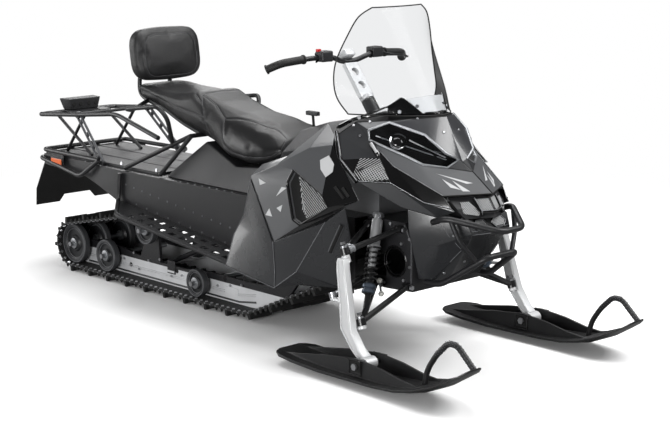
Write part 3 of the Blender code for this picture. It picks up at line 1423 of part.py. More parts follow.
def make_track():
    path = track_path()
    count = len(path)
    normals = []
    for index in range(count):
        ahead = (path[(index + 1) % count] - path[index - 1]).normalized()
        normals.append(Vector((ahead.y, -ahead.x)))
    half = TRACK_WIDTH / 2
    split = TRACK_WIDTH * LUG_COLUMNS_SHARE
    outer_columns = (-half, -split, split, half)
    inner_columns = (-half, -GUIDE_SPREAD - GUIDE_WIDTH / 2, -GUIDE_SPREAD + GUIDE_WIDTH / 2,
                     GUIDE_SPREAD - GUIDE_WIDTH / 2, GUIDE_SPREAD + GUIDE_WIDTH / 2, half)
    points, faces = [], []

    def add_sheet(columns, offset):
        start = len(points)
        for point, normal in zip(path, normals):
            spot = point + normal * offset
            points.extend(Vector((spot.x, left, spot.y)) for left in columns)
        return start

    def fill(start, columns, is_lug, height):
        width = len(columns)
        for station in range(count):
            after = (station + 1) % count
            for column in range(width - 1):
                quad = [start + station * width + column, start + station * width + column + 1,
                        start + after * width + column + 1, start + after * width + column]
                if not is_lug(station, column):
                    faces.append(tuple(quad))
                    continue
                centre = sum((points[index] for index in quad), Vector()) / 4
                flat = (normals[station] + normals[after]).normalized()
                rise = Vector((flat.x, 0, flat.y)) * height
                top = []
                for index in quad:
                    base = points[index]
                    drawn = Vector((base.x + (centre.x - base.x) * LUG_TAPER,
                                    base.y + (centre.y - base.y) * LUG_SIDE_TAPER,
                                    base.z + (centre.z - base.z) * LUG_TAPER))
                    top.append(len(points))
                    points.append(drawn + rise)
                for step in range(4):
                    next_step = (step + 1) % 4
                    faces.append((quad[step], quad[next_step], top[next_step], top[step]))
                faces.append(tuple(top))

    outer = add_sheet(outer_columns, BELT_THICKNESS)
    inner = add_sheet(inner_columns, 0.0)

    def outer_lug(station, column):
        if station % PITCH_STEPS:
            return False
        is_side_row = (station // PITCH_STEPS) % 2 == 0
        return column in (0, 2) if is_side_row else column == 1

    def inner_lug(station, column):
        return station % PITCH_STEPS == 0 and column in (1, 3)

    fill(outer, outer_columns, outer_lug, LUG_HEIGHT)
    fill(inner, inner_columns, inner_lug, -GUIDE_HEIGHT)
    wide, narrow = len(outer_columns), len(inner_columns)
    for station in range(count):
        after = (station + 1) % count
        for column, other in ((0, 0), (wide - 1, narrow - 1)):
            faces.append((outer + station * wide + column, outer + after * wide + column,
                          inner + after * narrow + other, inner + station * narrow + other))
    solid("track", points, faces, "rubber")


# Skid frame: slide rails, arms and cross shafts that hang from the tunnel
RAIL_HEIGHT = 0.160             # from the ground to the top of a rail's tail
RAIL_SHARES = (                 # forward, share of that height; outline above the sliding face
    (0.300, 1.25), (0.200, 1.09), (0.120, 1.00), (0.000, 0.94), (-0.300, 0.94), (-0.500, 0.84),
    (-0.800, 0.84), (-1.000, 1.00), (-1.200, 1.00), (-1.330, 1.00),
)
RAIL_REAR_SHARE = -1.375
RAIL_TIP = 0.140
RAIL_TAIL_RISE = 0.030
RAIL_TAIL_RAMP = 0.050
RAIL_NOSE_STEPS = 4
SKID_ARM_SPREAD = 0.07
SKID_SHAFT_SHARES = ((0.250, 0.0, 0.345), (-0.150, 0.0, 0.362))
SKID_FOOT_SHARES = ((-0.060, 0.0, 0.120), (-0.740, 0.0, 0.110))
CARRIER_PLATE_SHARES = ((-0.860, 0.120), (-0.762, 0.318), (-0.706, 0.318), (-0.690, 0.120))


def rail_outline(left):
    """Side outline of a slide rail, its sole along the belt and its nose along the bend."""
    ground = LUG_HEIGHT + BELT_THICKNESS + GAP
    centre = Vector((RAIL_NOSE_SHARE * BODY_REACH, 0, ground + RAIL_NOSE_RADIUS))
    points = [Vector((forward * BODY_REACH, left, up * RAIL_HEIGHT)) for forward, up in RAIL_SHARES]
    rear = RAIL_REAR_SHARE * BODY_REACH
    axle_up = wheel_height(REAR_WHEEL_RADIUS)
    axle = REAR_AXLE_SHARE * BODY_REACH
    notch = AXLE_RADIUS / math.cos(math.pi / 8) + GAP
    tail = ((rear, RAIL_HEIGHT), (rear, axle_up + notch), (axle + notch, axle_up + notch),
            (axle + notch, axle_up - notch), (rear, axle_up - notch), (rear, ground + RAIL_TAIL_RISE),
            (rear + RAIL_TAIL_RAMP, ground))
    points += [Vector((forward, left, up)) for forward, up in tail]
    radius = RAIL_NOSE_RADIUS - GAP
    leave = belt_tangents()[1][2] + math.pi / 2
    for step in range(RAIL_NOSE_STEPS + 1):
        angle = -math.pi / 2 + leave * step / RAIL_NOSE_STEPS
        forward, up = centre.x + math.cos(angle) * radius, centre.z + math.sin(angle) * radius
        points.append(Vector((forward, left, up)))
    slope = Vector((math.cos(leave), 0, math.sin(leave)))
    points.append(points[-1] + slope * RAIL_TIP)
    return points


def make_skid_frame():
    half = RAIL_THICKNESS / 2
    pieces = []
    for side in (1, -1):
        outline = [point + Vector((0, -half, 0)) for point in rail_outline(side * RAIL_SPREAD)]
        pieces.append(prism("rail", outline, Vector((0, 2 * half, 0)), "silver"))
        plate = [place((forward, 0.0, up)) + Vector((0, side * RAIL_SPREAD - half, 0))
                 for forward, up in CARRIER_PLATE_SHARES]
        pieces.append(prism("plate", plate, Vector((0, 2 * half, 0)), "silver"))
    wall = TUNNEL_SHARES[5][1] * BODY_WIDTH - TUNNEL_WALL - GAP
    for (shaft, foot) in zip(SKID_SHAFT_SHARES, SKID_FOOT_SHARES):
        top = place(shaft)
        low = place(foot)
        out = Vector((0, wall, 0))
        pieces.append(cylinder("shaft", top - out, top + out, AXLE_RADIUS, 8, "silver"))
        spread = Vector((0, RAIL_SPREAD, 0))
        pieces.append(cylinder("foot", low - spread, low + spread, AXLE_RADIUS, 8, "silver"))
        for side in (1, -1):
            beside = Vector((0, side * SKID_ARM_SPREAD, 0))
            pieces.append(cylinder("arm", low + beside, top + beside, AXLE_RADIUS, 8, "silver"))
    frame = fuse("frame", pieces, "silver")
    cutters = []
    carrier = place(CARRIER_AXLE_SHARES)
    axles = [Vector((forward * BODY_REACH, 0, wheel_height(radius))) for forward, radius in
             ((SECOND_AXLE_SHARE, SECOND_WHEEL_RADIUS), (BOGIE_AXLE_SHARE, BOGIE_WHEEL_RADIUS))]
    radius = AXLE_RADIUS / math.cos(math.pi / 12) + GAP
    for centre in [*axles, carrier]:
        reach = Vector((0, TRACK_WIDTH / 2, 0))
        cutters.append(cylinder("bore", centre - reach, centre + reach, radius, 12, "silver"))
    cut("skid_frame", [frame, *cutters], "silver")


# Joint axes: an empty on each, with its Z along the axis, carries the pieces that turn about it
STEERING_PIECES = ("steering_riser", "handlebar", "bar_pad", "throttle_block", "brake_block")


def hang(name, point, axis, pieces, parent=None):
    """Empty on a joint's axis with the pieces that it carries, left where they are."""
    joint = bpy.data.objects.new(name, None)
    joint.rotation_mode = "QUATERNION"
    joint.location = point
    joint.rotation_quaternion = axis.to_track_quat("Z", "Y")
    bpy.context.collection.objects.link(joint)
    if parent is not None:
        bpy.context.view_layer.update()
        joint.parent = parent
        joint.matrix_parent_inverse = parent.matrix_world.inverted()
    bpy.context.view_layer.update()
    for piece_name in pieces:
        piece = bpy.data.objects[piece_name]
        piece.parent = joint
        piece.matrix_parent_inverse = joint.matrix_world.inverted()
    return joint


def make_joints():
    foot = place(STEERING_FOOT_SHARES)
    hang("steering_joint", foot, (place(STEERING_TOP_SHARES) - foot).normalized(), STEERING_PIECES)
    for name, side in (("right", -1), ("left", 1)):
        pin = sided(place(SKI_PIN_SHARES), side)
        end = sided(place(TIE_END_SHARES), side)
        ball = sided(place(LOWER_BALL_SHARES), side)
        leg = hang("spindle_joint_" + name, ball, kingpin(), ["spindle_" + name])
        hang("tie_rod_joint_" + name, end, kingpin(), ["tie_rod_" + name], leg)
        hang("ski_joint_" + name, pin, Vector((0, -1, 0)), ["ski_" + name, "ski_loop_" + name, "runner_" + name], leg)


def make_all():
    clear_scene()
    make_tunnel()
    make_snow_flap()
    make_rear_guard()
    make_cargo_deck()
    make_rack()
    make_tail_lamp()
    make_seat_frame()
    make_seat_base()
    make_seat_cushion()
    make_backrest()
    make_console()
    make_hood()
    make_nose()
    make_front_bumper()
    make_windshield()
    make_windshield_fairing()
    make_starter_handle()
    make_engine()
    make_bulkhead()
    make_steering()
    for name, side in (("right", -1), ("left", 1)):
        make_running_board("running_board_" + name, side)
        make_side_panel("side_panel_" + name, side)
        make_belly_pan("belly_pan_" + name, side)
        make_headlamp("headlamp_" + name, side)
        make_arm("upper_arm_" + name, side, UPPER_BALL_SHARES, UPPER_ARM_SHARES, False)
        make_arm("lower_arm_" + name, side, LOWER_BALL_SHARES, LOWER_ARM_SHARES, True)
        make_shock("shock_" + name, side)
        make_spindle("spindle_" + name, side)
        make_tie_rod("tie_rod_" + name, side)
        make_ski("ski_" + name, side)
        make_ski_loop("ski_loop_" + name, side)
        make_runner("runner_" + name, side)
    for name, forward, radius, spreads in WHEEL_ROWS:
        make_track_wheels(name, forward * BODY_REACH, wheel_height(radius), radius, spreads, AXLE_HALF)
    carrier, drive = place(CARRIER_AXLE_SHARES), place(DRIVE_AXLE_SHARES)
    make_track_wheels("carrier_wheels", carrier.x, carrier.z, CARRIER_WHEEL_RADIUS, (OUTER_WHEEL_SPREAD,),
                      CARRIER_AXLE_HALF)
    make_track_wheels("drive_axle", drive.x, drive.z, DRIVE_RADIUS, (RAIL_SPREAD,),
                      TUNNEL_SHARES[5][1] * BODY_WIDTH - TUNNEL_WALL - GAP)
    make_track()
    make_skid_frame()
    make_joints()


make_all()
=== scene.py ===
import math

import bmesh
import bpy
from mathutils import Matrix, Vector
from mathutils.bvhtree import BVHTree
from mathutils.kdtree import KDTree


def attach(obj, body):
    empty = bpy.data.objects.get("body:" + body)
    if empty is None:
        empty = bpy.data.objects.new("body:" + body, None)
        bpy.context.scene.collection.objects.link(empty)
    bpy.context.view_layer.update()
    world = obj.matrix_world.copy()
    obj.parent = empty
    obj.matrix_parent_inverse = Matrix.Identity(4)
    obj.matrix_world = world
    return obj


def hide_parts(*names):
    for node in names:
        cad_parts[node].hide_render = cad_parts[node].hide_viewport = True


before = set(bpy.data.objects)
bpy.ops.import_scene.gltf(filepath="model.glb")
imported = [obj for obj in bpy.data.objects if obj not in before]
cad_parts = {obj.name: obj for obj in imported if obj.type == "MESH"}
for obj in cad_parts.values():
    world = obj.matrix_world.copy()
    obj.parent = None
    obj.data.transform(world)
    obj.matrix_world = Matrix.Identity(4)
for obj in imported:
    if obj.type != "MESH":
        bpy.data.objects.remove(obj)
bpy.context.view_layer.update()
scene = bpy.context.scene

# The camera stands off the front right corner at eye height, tilted a little down, with a long lens
# that keeps the machine's lines nearly parallel.
CAMERA_PLACE = Vector((5.287, -4.554, 1.821))
CAMERA_TURN = math.radians(47.23)
CAMERA_TILT = math.radians(78.912)
CAMERA_ROLL = math.radians(-0.397)
CAMERA_LENS = 85.04
CAMERA_FILM = 36.0

camera_data = bpy.data.cameras.new("camera")
camera_data.lens = CAMERA_LENS
camera_data.sensor_width = CAMERA_FILM
camera_data.sensor_fit = "HORIZONTAL"
camera_data.clip_end = 100.0
camera = bpy.data.objects.new("camera", camera_data)
turn = Matrix.Rotation(CAMERA_TURN, 4, "Z") @ Matrix.Rotation(CAMERA_TILT, 4, "X")
camera.matrix_world = Matrix.Translation(CAMERA_PLACE) @ turn @ Matrix.Rotation(CAMERA_ROLL, 4, "Z")
scene.collection.objects.link(camera)
scene.camera = camera


# The floor is a pale studio sweep. Near the machine it takes its shadow, and
# further off it turns to plain white, as a lit paper roll does.
FLOOR_SIZE = 60.0
FLOOR_SEEN = "#ffffff"
FLOOR_BOUNCE = "#8a8a8a"
SHADOW_REACH = (1.9, 4.2)


def linear(code):
    """Linear colour of an sRGB hex value."""
    parts = [int(code[start:start + 2], 16) / 255 for start in (1, 3, 5)]
    return [part / 12.92 if part <= 0.04045 else ((part + 0.055) / 1.055) ** 2.4 for part in parts] + [1.0]


def add(tree, kind, settings=None, links=None, **inputs):
    """One node with its properties, its input values by name, and links into its inputs."""
    node = tree.nodes.new(kind)
    for key, value in (settings or {}).items():
        setattr(node, key, value)
    for key, value in inputs.items():
        node.inputs[key.replace("_", " ")].default_value = value
    for key, source in (links or {}).items():
        tree.links.new(source, node.inputs[key])
    return node


def blank_material(name):
    """Material with an empty tree and its output node."""
    material = bpy.data.materials.new(name)
    material.use_nodes = True
    tree = material.node_tree
    tree.nodes.clear()
    return material, tree, add(tree, "ShaderNodeOutputMaterial")


floor_mesh = bpy.data.meshes.new("floor")
reach = FLOOR_SIZE / 2
floor_mesh.from_pydata([(-reach, -reach, 0), (reach, -reach, 0), (reach, reach, 0), (-reach, reach, 0)],
                       [], [(0, 1, 2, 3)])
floor = bpy.data.objects.new("floor", floor_mesh)
scene.collection.objects.link(floor)
floor_paint, tree, out = blank_material("studio sweep")
rays = add(tree, "ShaderNodeLightPath")
seen = add(tree, "ShaderNodeMath", {"operation": "MAXIMUM"},
           {0: rays.outputs["Is Camera Ray"], 1: rays.outputs["Is Transmission Ray"]})
shade = add(tree, "ShaderNodeMix", {"data_type": "RGBA"}, {"Factor": seen.outputs[0]})
shade.inputs["A"].default_value = linear(FLOOR_BOUNCE)
shade.inputs["B"].default_value = linear(FLOOR_SEEN)
matte = add(tree, "ShaderNodeBsdfDiffuse", links={"Color": shade.outputs["Result"]})
spot = add(tree, "ShaderNodeTexCoord")
off = add(tree, "ShaderNodeVectorMath", {"operation": "LENGTH"}, {0: spot.outputs["Object"]})
far = add(tree, "ShaderNodeMapRange", {"interpolation_type": "SMOOTHSTEP"}, {"Value": off.outputs["Value"]})
far.inputs["From Min"].default_value, far.inputs["From Max"].default_value = SHADOW_REACH
away = add(tree, "ShaderNodeMath", {"operation": "MULTIPLY"}, {0: far.outputs["Result"], 1: seen.outputs[0]})
paper = add(tree, "ShaderNodeEmission", Color=linear(FLOOR_SEEN), Strength=1.0)
both = add(tree, "ShaderNodeMixShader", links={0: away.outputs[0], 1: matte.outputs[0], 2: paper.outputs[0]})
tree.links.new(both.outputs[0], out.inputs["Surface"])
floor_mesh.materials.append(floor_paint)

# Light of a dark studio: an even fill that gloss hardly mirrors, a large soft lamp overhead, two low
# ones on the right side and one high at each left corner, so that black parts stay black and their
# edges shine.
WORLD_LEVEL = 0.42
WORLD_MIRROR = 0.10
LAMPS = (
    ("top lamp", (-0.6, 0.6, 4.2), (0.0, 0.0, 0.5), 3.2, 150.0),
    ("side lamp", (-5.2, -2.6, 1.6), (0.0, -0.2, 0.5), 3.0, 110.0),
    ("fill lamp", (2.8, -5.8, 0.9), (0.4, 0.0, 0.5), 2.2, 270.0),
    ("front lamp", (3.4, 1.9, 3.8), (0.8, 0.0, 0.6), 2.2, 170.0),
    ("rear lamp", (-4.2, 2.6, 2.8), (0.0, 0.0, 0.6), 2.0, 50.0),
)
world = bpy.data.worlds.new("studio")
world.use_nodes = True
scene.world = world
tree = world.node_tree
tree.nodes.clear()
out = add(tree, "ShaderNodeOutputWorld")
rays = add(tree, "ShaderNodeLightPath")
seen = add(tree, "ShaderNodeMath", {"operation": "MAXIMUM"},
           {0: rays.outputs["Is Camera Ray"], 1: rays.outputs["Is Transmission Ray"]})
room = add(tree, "ShaderNodeMix", {"data_type": "FLOAT"}, {"Factor": rays.outputs["Is Glossy Ray"]},
           A=WORLD_LEVEL, B=WORLD_MIRROR)
level = add(tree, "ShaderNodeMix", {"data_type": "FLOAT"},
            {"Factor": seen.outputs[0], "A": room.outputs["Result"]}, B=1.0)
glow = add(tree, "ShaderNodeBackground", links={"Strength": level.outputs["Result"]}, Color=linear("#ffffff"))
tree.links.new(glow.outputs[0], out.inputs["Surface"])
for name, place, target, size, power in LAMPS:
    lamp_data = bpy.data.lights.new(name, "AREA")
    lamp_data.size = size
    lamp_data.energy = power
    lamp = bpy.data.objects.new(name, lamp_data)
    lamp.location = place
    lamp.rotation_euler = (Vector(target) - Vector(place)).to_track_quat("-Z", "Y").to_euler()
    scene.collection.objects.link(lamp)
scene.view_settings.view_transform = "Standard"


# Tunnel. A folded metal sheet with a black powder coat, which covers the track and carries
# everything behind the engine. Rows of pop rivets along its top and on its walls hold the
# stiffeners inside.
WELD = 0.00002
FLAT_ANGLE = math.radians(0.5)
EDGE_ANGLE = math.radians(24)
TUNNEL_EDGE = 0.0012
TOP_RIVET = (0.0045, 0.0022, 10, 0.55)
RIVET_PITCH = 0.052
RIVET_ROW = (-1.50, -0.02)
RIVET_INSET = 0.012
TUNNEL_HALVES = ((-1.19, 0.235), (-1.06, 0.25), (0.0, 0.27))
TUNNEL_TOP = 0.575
COAT_HAZE = 0.08
CLOUD_SCALE = 9.0


def surface(name, colour, roughness, metallic=0.0, grain=0.0, grain_mm=1.0, wear=0.0, cloud=0.0, coat=0.0):
    """Principled finish: clouded base colour, roughness that varies, and a fine grain in the normal."""
    material, tree, out = blank_material(name)
    place = add(tree, "ShaderNodeTexCoord").outputs["Object"]
    shader = add(tree, "ShaderNodeBsdfPrincipled", Metallic=metallic, Coat_Weight=coat,
                 Coat_Roughness=COAT_HAZE)
    cloudy = add(tree, "ShaderNodeTexNoise", links={"Vector": place}, Scale=CLOUD_SCALE, Detail=4.0)
    tone = add(tree, "ShaderNodeMix", {"data_type": "RGBA"}, {"Factor": cloudy.outputs["Fac"]})
    base = linear(colour)
    tone.inputs["A"].default_value = [part * (1 - cloud) for part in base[:3]] + [1]
    tone.inputs["B"].default_value = [min(1.0, part * (1 + cloud)) for part in base[:3]] + [1]
    tree.links.new(tone.outputs["Result"], shader.inputs["Base Color"])
    rough = add(tree, "ShaderNodeMapRange", links={"Value": cloudy.outputs["Fac"]},
                To_Min=max(0.02, roughness - wear), To_Max=min(1.0, roughness + wear))
    tree.links.new(rough.outputs["Result"], shader.inputs["Roughness"])
    if grain:
        fine = add(tree, "ShaderNodeTexNoise", links={"Vector": place}, Scale=1000.0 / grain_mm, Detail=2.0)
        bump = add(tree, "ShaderNodeBump", links={"Height": fine.outputs["Fac"]}, Strength=grain,
                   Distance=grain_mm / 1000)
        tree.links.new(bump.outputs["Normal"], shader.inputs["Normal"])
    tree.links.new(shader.outputs["BSDF"], out.inputs["Surface"])
    return material


def take(shape, node, slot=0):
    """Adds a CAD node to the shape with its loose triangles joined and its flat faces made whole."""
    found = bmesh.new()
    found.from_mesh(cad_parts[node].data)
    found.transform(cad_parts[node].matrix_world)
    bmesh.ops.remove_doubles(found, verts=found.verts, dist=WELD)
    bmesh.ops.dissolve_limit(found, angle_limit=FLAT_ANGLE, verts=found.verts, edges=found.edges)
    for face in found.faces:
        face.material_index = slot
    copy = bpy.data.meshes.new("copy")
    found.to_mesh(copy)
    found.free()
    shape.from_mesh(copy)
    bpy.data.meshes.remove(copy)


def plain(thing):
    """Gives the object the mesh that its modifiers make, and drops them."""
    made = bpy.data.meshes.new_from_object(thing.evaluated_get(bpy.context.evaluated_depsgraph_get()))
    thing.modifiers.clear()
    thing.data = made


def piece(name, shape, paints, body, nodes=(), edge=0.0, angle=EDGE_ANGLE):
    """Makes an object of the shape, with a small round on sharp edges, that rides on its body."""
    bmesh.ops.remove_doubles(shape, verts=shape.verts, dist=WELD)
    bmesh.ops.recalc_face_normals(shape, faces=shape.faces)
    mesh = bpy.data.meshes.new(name)
    shape.to_mesh(mesh)
    shape.free()
    for paint in paints:
        mesh.materials.append(paint)
    mesh.shade_smooth()
    thing = bpy.data.objects.new(name, mesh)
    scene.collection.objects.link(thing)
    if edge:
        rounding = thing.modifiers.new("edge round", "BEVEL")
        rounding.width = edge
        rounding.segments = 2
        rounding.limit_method = "ANGLE"
        rounding.angle_limit = angle
        rounding.use_clamp_overlap = False
        thing.modifiers.new("even shading", "WEIGHTED_NORMAL").keep_sharp = True
        plain(thing)
    else:
        mesh.set_sharp_from_angle(angle=angle)
    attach(thing, body)
    if nodes:
        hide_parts(*nodes)
    return thing


def whole(name, nodes, paint, edge, body="chassis", angle=EDGE_ANGLE):
    """Finished piece of whole CAD nodes in one paint."""
    shape = bmesh.new()
    for node in nodes:
        take(shape, node)
    return piece(name, shape, [paint], body, nodes, edge, angle)


def growth(name, sizes):
    """Geometry node tree with its ends and one named input for each size."""
    tree = bpy.data.node_groups.new(name, "GeometryNodeTree")
    tree.interface.new_socket("Geometry", in_out="INPUT", socket_type="NodeSocketGeometry")
    for label, kind in sizes:
        tree.interface.new_socket(label, in_out="INPUT", socket_type="NodeSocket" + kind)
    tree.interface.new_socket("Geometry", in_out="OUTPUT", socket_type="NodeSocketGeometry")
    return tree, add(tree, "NodeGroupInput").outputs, add(tree, "NodeGroupOutput").inputs


def grown(name, mesh, tree, body, **sizes):
    """Object with the plain mesh that the tree grows on the given one, riding on its body."""
    thing = bpy.data.objects.new(name, mesh)
    scene.collection.objects.link(thing)
    growing = thing.modifiers.new("growth", "NODES")
    growing.node_group = tree
    for item in tree.interface.items_tree:
        if item.in_out == "INPUT" and item.name in sizes:
            growing[item.identifier] = sizes[item.name]
    plain(thing)
    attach(thing, body)
    return thing


heads_tree, given, made = growth("fastener heads",
                                 (("Radius", "Float"), ("Height", "Float"), ("Sides", "Int"),
                                  ("Crown", "Float"), ("Paint", "Material")))
crown = add(heads_tree, "ShaderNodeMath", {"operation": "MULTIPLY"}, {0: given["Radius"], 1: given["Crown"]})
head = add(heads_tree, "GeometryNodeMeshCone", links={
    "Vertices": given["Sides"], "Radius Bottom": given["Radius"], "Radius Top": crown.outputs[0],
    "Depth": given["Height"]})
way = add(heads_tree, "GeometryNodeInputNamedAttribute", {"data_type": "FLOAT_VECTOR"}, Name="facing")
aimed = add(heads_tree, "FunctionNodeAlignRotationToVector", {"axis": "Z"}, {"Vector": way.outputs[0]})
placed = add(heads_tree, "GeometryNodeInstanceOnPoints", links={
    "Points": given["Geometry"], "Instance": head.outputs["Mesh"], "Rotation": aimed.outputs[0]})
real = add(heads_tree, "GeometryNodeRealizeInstances", links={"Geometry": placed.outputs[0]})
painted = add(heads_tree, "GeometryNodeSetMaterial",
              links={"Geometry": real.outputs[0], "Material": given["Paint"]})
heads_tree.links.new(painted.outputs[0], made["Geometry"])


def heads(name, body, spots, radius, height, sides, crown, paint):
    """A head on each spot, a point and the way it faces; its top is crown times as wide as its foot."""
    mesh = bpy.data.meshes.new(name)
    mesh.from_pydata([spot for spot, _ in spots], [], [])
    facing = mesh.attributes.new("facing", "FLOAT_VECTOR", "POINT")
    for item, (_, direction) in zip(facing.data, spots):
        item.vector = direction
    return grown(name, mesh, heads_tree, body, Radius=radius, Height=height, Sides=sides, Crown=crown,
                 Paint=paint)


# Powder coat: near black, slightly orange-peeled, so that highlights on it break up softly.
powder = surface("powder coat on steel", "#1d1d1f", 0.36, grain=0.35, grain_mm=2.4, wear=0.07, cloud=0.12)
# Zinc: a cool bright grey with soft patches, for small fasteners.
zinc = surface("zinc-plated steel", "#b4b5b8", 0.30, metallic=0.9, wear=0.08, cloud=0.08)

whole("tunnel_sheet", ["tunnel"], powder, TUNNEL_EDGE)

rear, front = RIVET_ROW
count = round((front - rear) / RIVET_PITCH)
spots = []
for step in range(count + 1):
    along = rear + (front - rear) * step / count
    half = next(half for limit, half in TUNNEL_HALVES if along < limit)
    for side in (1, -1):
        spots.append((Vector((along, side * (half - RIVET_INSET), TUNNEL_TOP)), (0, 0, 1)))
heads("tunnel_rivets", "chassis", spots, *TOP_RIVET, zinc)
# Side rivets: grey heads in two sloping rows that hold the stiffeners inside the walls. A head is
# given by its radius, its height, the number of its sides, and its top's share of the radius.
WALL = 0.2702
WALL_RIVET = (0.0052, 0.0030, 10, 0.55)
WALL_ROWS = (((-0.80, 0.512), (0.04, 0.410), 14), ((-0.72, 0.428), (-0.06, 0.345), 9))
spots = []
for (back, back_up), (front, front_up), count in WALL_ROWS:
    for step in range(count):
        share = step / (count - 1)
        spots += [(Vector((back + (front - back) * share, side * WALL,
                           back_up + (front_up - back_up) * share)), (0, side, 0)) for side in (1, -1)]
# Worn paint: grey where boots and snow have rubbed the coat thin, and lighter still as a painted
# highlight, so that small heads show.
worn_and_highlit_paint = surface("worn paint on steel with painted highlight", "#5c5d60", 0.34, metallic=0.3, wear=0.1, cloud=0.2)
heads("wall_rivets", "chassis", spots, *WALL_RIVET, worn_and_highlit_paint)


# Running boards. Pressed aluminium with rows of punched holes that let snow through, folded up at
# the outer edge round a tube, and riveted to the tunnel.
BOARD_EDGE = 0.0008


def faces_of(thing):
    """Search tree over the faces of a piece, to lay smaller parts on it."""
    return BVHTree.FromPolygons([point.co for point in thing.data.vertices],
                                [face.vertices for face in thing.data.polygons])


boards = whole("running_boards", ["running_board_left", "running_board_right"], powder, BOARD_EDGE)
# Teeth: pressed up along the outer edge, worn grey by boots and lighter still as a painted highlight.
TEETH_FROM, TEETH_TO, TEETH_PITCH = -0.70, 0.16, 0.0145
TOOTH = (0.0040, 0.0035, 4, 0.6)
TEETH_ROWS = (0.424, 0.408)
tree = faces_of(boards)
spots = []
for row, across in enumerate(TEETH_ROWS):
    for step in range(int((TEETH_TO - TEETH_FROM) / TEETH_PITCH)):
        along = TEETH_FROM + (step + row / 2) * TEETH_PITCH
        for side in (1, -1):
            spot, normal, _, _ = tree.ray_cast(Vector((along, side * across, 0.6)), Vector((0, 0, -1)))
            if spot is not None and spot.z > 0.30 and normal.z > 0.9:
                spots.append((spot, normal))
heads("board_teeth", "chassis", spots, *TOOTH, worn_and_highlit_paint)


# Snow flap. A thick sheet of moulded rubber, fixed under the tail of the tunnel, that hangs behind
# the track to catch thrown snow.
FLAP_EDGE = 0.002
# Rubber: dull black with a coarse mottle and dust in it.
rubber = surface("vulcanised rubber", "#191919", 0.68, grain=0.6, grain_mm=2.0, wear=0.10, cloud=0.25)
whole("flap_sheet", ["snow_flap"], rubber, FLAP_EDGE)


# Rear guard. Two bent steel tubes round the tail with a plate on each side for the marker lamp,
# which has an orange lens in a black bezel.
GUARD_TUBE = 0.011
GUARD_BEND = 0.035
TUBE_SIDES = 16
BEND_STEPS = 6
GUARD_HOOPS = (
    ((-1.03, 0.264, 0.60), (-1.537, 0.25, 0.6002)),
    ((-1.03, 0.264, 0.60), (-1.185, 0.27, 0.505), (-1.5715, 0.25, 0.556)),
)
GUARD_PLATE = Vector((-1.41, 0.25, 0.566))
GUARD_PLATE_SIZE = (0.11, 0.006, 0.075)
MARKER = Vector((-1.41, 0.257, 0.552))
MARKER_SIZE = (0.090, 0.010, 0.028)
BEZEL = MARKER - Vector((0, 0.003, 0))
BEZEL_SIZE = (0.100, 0.008, 0.038)
SMALL_EDGE = 0.002


def mirrored(points, side=-1):
    """The points on the other side of the machine."""
    return [Vector((x, side * y, z)) for x, y, z in points]


def each_side(rows):
    """Every row of points on the left side and on the right side."""
    return [mirrored(row, side) for row in rows for side in (1, -1)]


def hoop(points):
    """Path from the left side's points round to the right side's."""
    return [Vector(point) for point in points] + mirrored(reversed(list(points)))


def bent(points, bend):
    """Path through the points with each corner turned into a bend."""
    points = [Vector(point) for point in points]
    if len(points) < 3 or not bend:
        return points
    path = [points[0]]
    for before, corner, after in zip(points, points[1:], points[2:]):
        back, ahead = before - corner, after - corner
        cut = min(bend, back.length * 0.48, ahead.length * 0.48)
        start, end = corner + back.normalized() * cut, corner + ahead.normalized() * cut
        for step in range(BEND_STEPS + 1):
            share = step / BEND_STEPS
            path.append(start.lerp(corner, share).lerp(corner.lerp(end, share), share))
    return path + [points[-1]]


def skin(shape, rings, slot=0, caps=True):
    """Joins rings of points with faces, and closes both ends."""
    made = [[shape.verts.new(point) for point in ring] for ring in rings]
    sides = len(made[0])
    faces = []
    for first, second in zip(made, made[1:]):
        for step in range(sides):
            after = (step + 1) % sides
            faces.append((first[step], first[after], second[after], second[step]))
    if caps:
        faces += [tuple(reversed(made[0])), tuple(made[-1])]
    for corners in faces:
        shape.faces.new(corners).material_index = slot


def tube(shape, points, radius, bend=0.0, slot=0, sides=TUBE_SIDES, flat=1.0):
    """Adds a round tube along the path; radius may be a list with one value for each point of it."""
    path = bent(points, bend)
    radii = radius if isinstance(radius, (list, tuple)) else [radius] * len(path)
    normal = (path[1] - path[0]).orthogonal().normalized()
    rings = []
    for index, spot in enumerate(path):
        before, after = path[max(0, index - 1)], path[min(len(path) - 1, index + 1)]
        along = (after - before).normalized()
        normal = (normal - along * normal.dot(along)).normalized()
        other = along.cross(normal)
        rings.append([spot + (normal * math.cos(turn) + other * (flat * math.sin(turn))) * radii[index]
                      for turn in (math.tau * step / sides for step in range(sides))])
    skin(shape, rings, slot)


def turned(shape, start, axis, profile, slot=0, sides=32, caps=True):
    """Adds a turned solid; the profile is a row of distances along the axis, each with its radius."""
    axis = Vector(axis).normalized()
    normal = axis.orthogonal().normalized()
    other = axis.cross(normal)
    turns = [math.tau * step / sides for step in range(sides)]
    skin(shape, [[start + axis * along + (normal * math.cos(turn) + other * math.sin(turn)) * radius
                  for turn in turns] for along, radius in profile], slot, caps)


def round_bar(radius, bar, steps, along=0.0):
    """Profile that turns into a ring of round bar."""
    turns = [math.tau * step / steps for step in range(steps + 1)]
    return [(along + bar * math.sin(turn), radius + bar * math.cos(turn)) for turn in turns]


def block(shape, centre, size, slot=0, turn=None):
    """Adds a box with its middle at the centre."""
    made = bmesh.ops.create_cube(shape, size=1.0)["verts"]
    matrix = Matrix.Translation(centre) @ (turn or Matrix()) @ Matrix.Diagonal((*size, 1))
    bmesh.ops.transform(shape, matrix=matrix, verts=made)
    for vert in made:
        for face in vert.link_faces:
            face.material_index = slot


shape = bmesh.new()
for row in GUARD_HOOPS:
    tube(shape, hoop(row), GUARD_TUBE, GUARD_BEND)
piece("guard_tubes", shape, [powder], "chassis", ["rear_guard"])
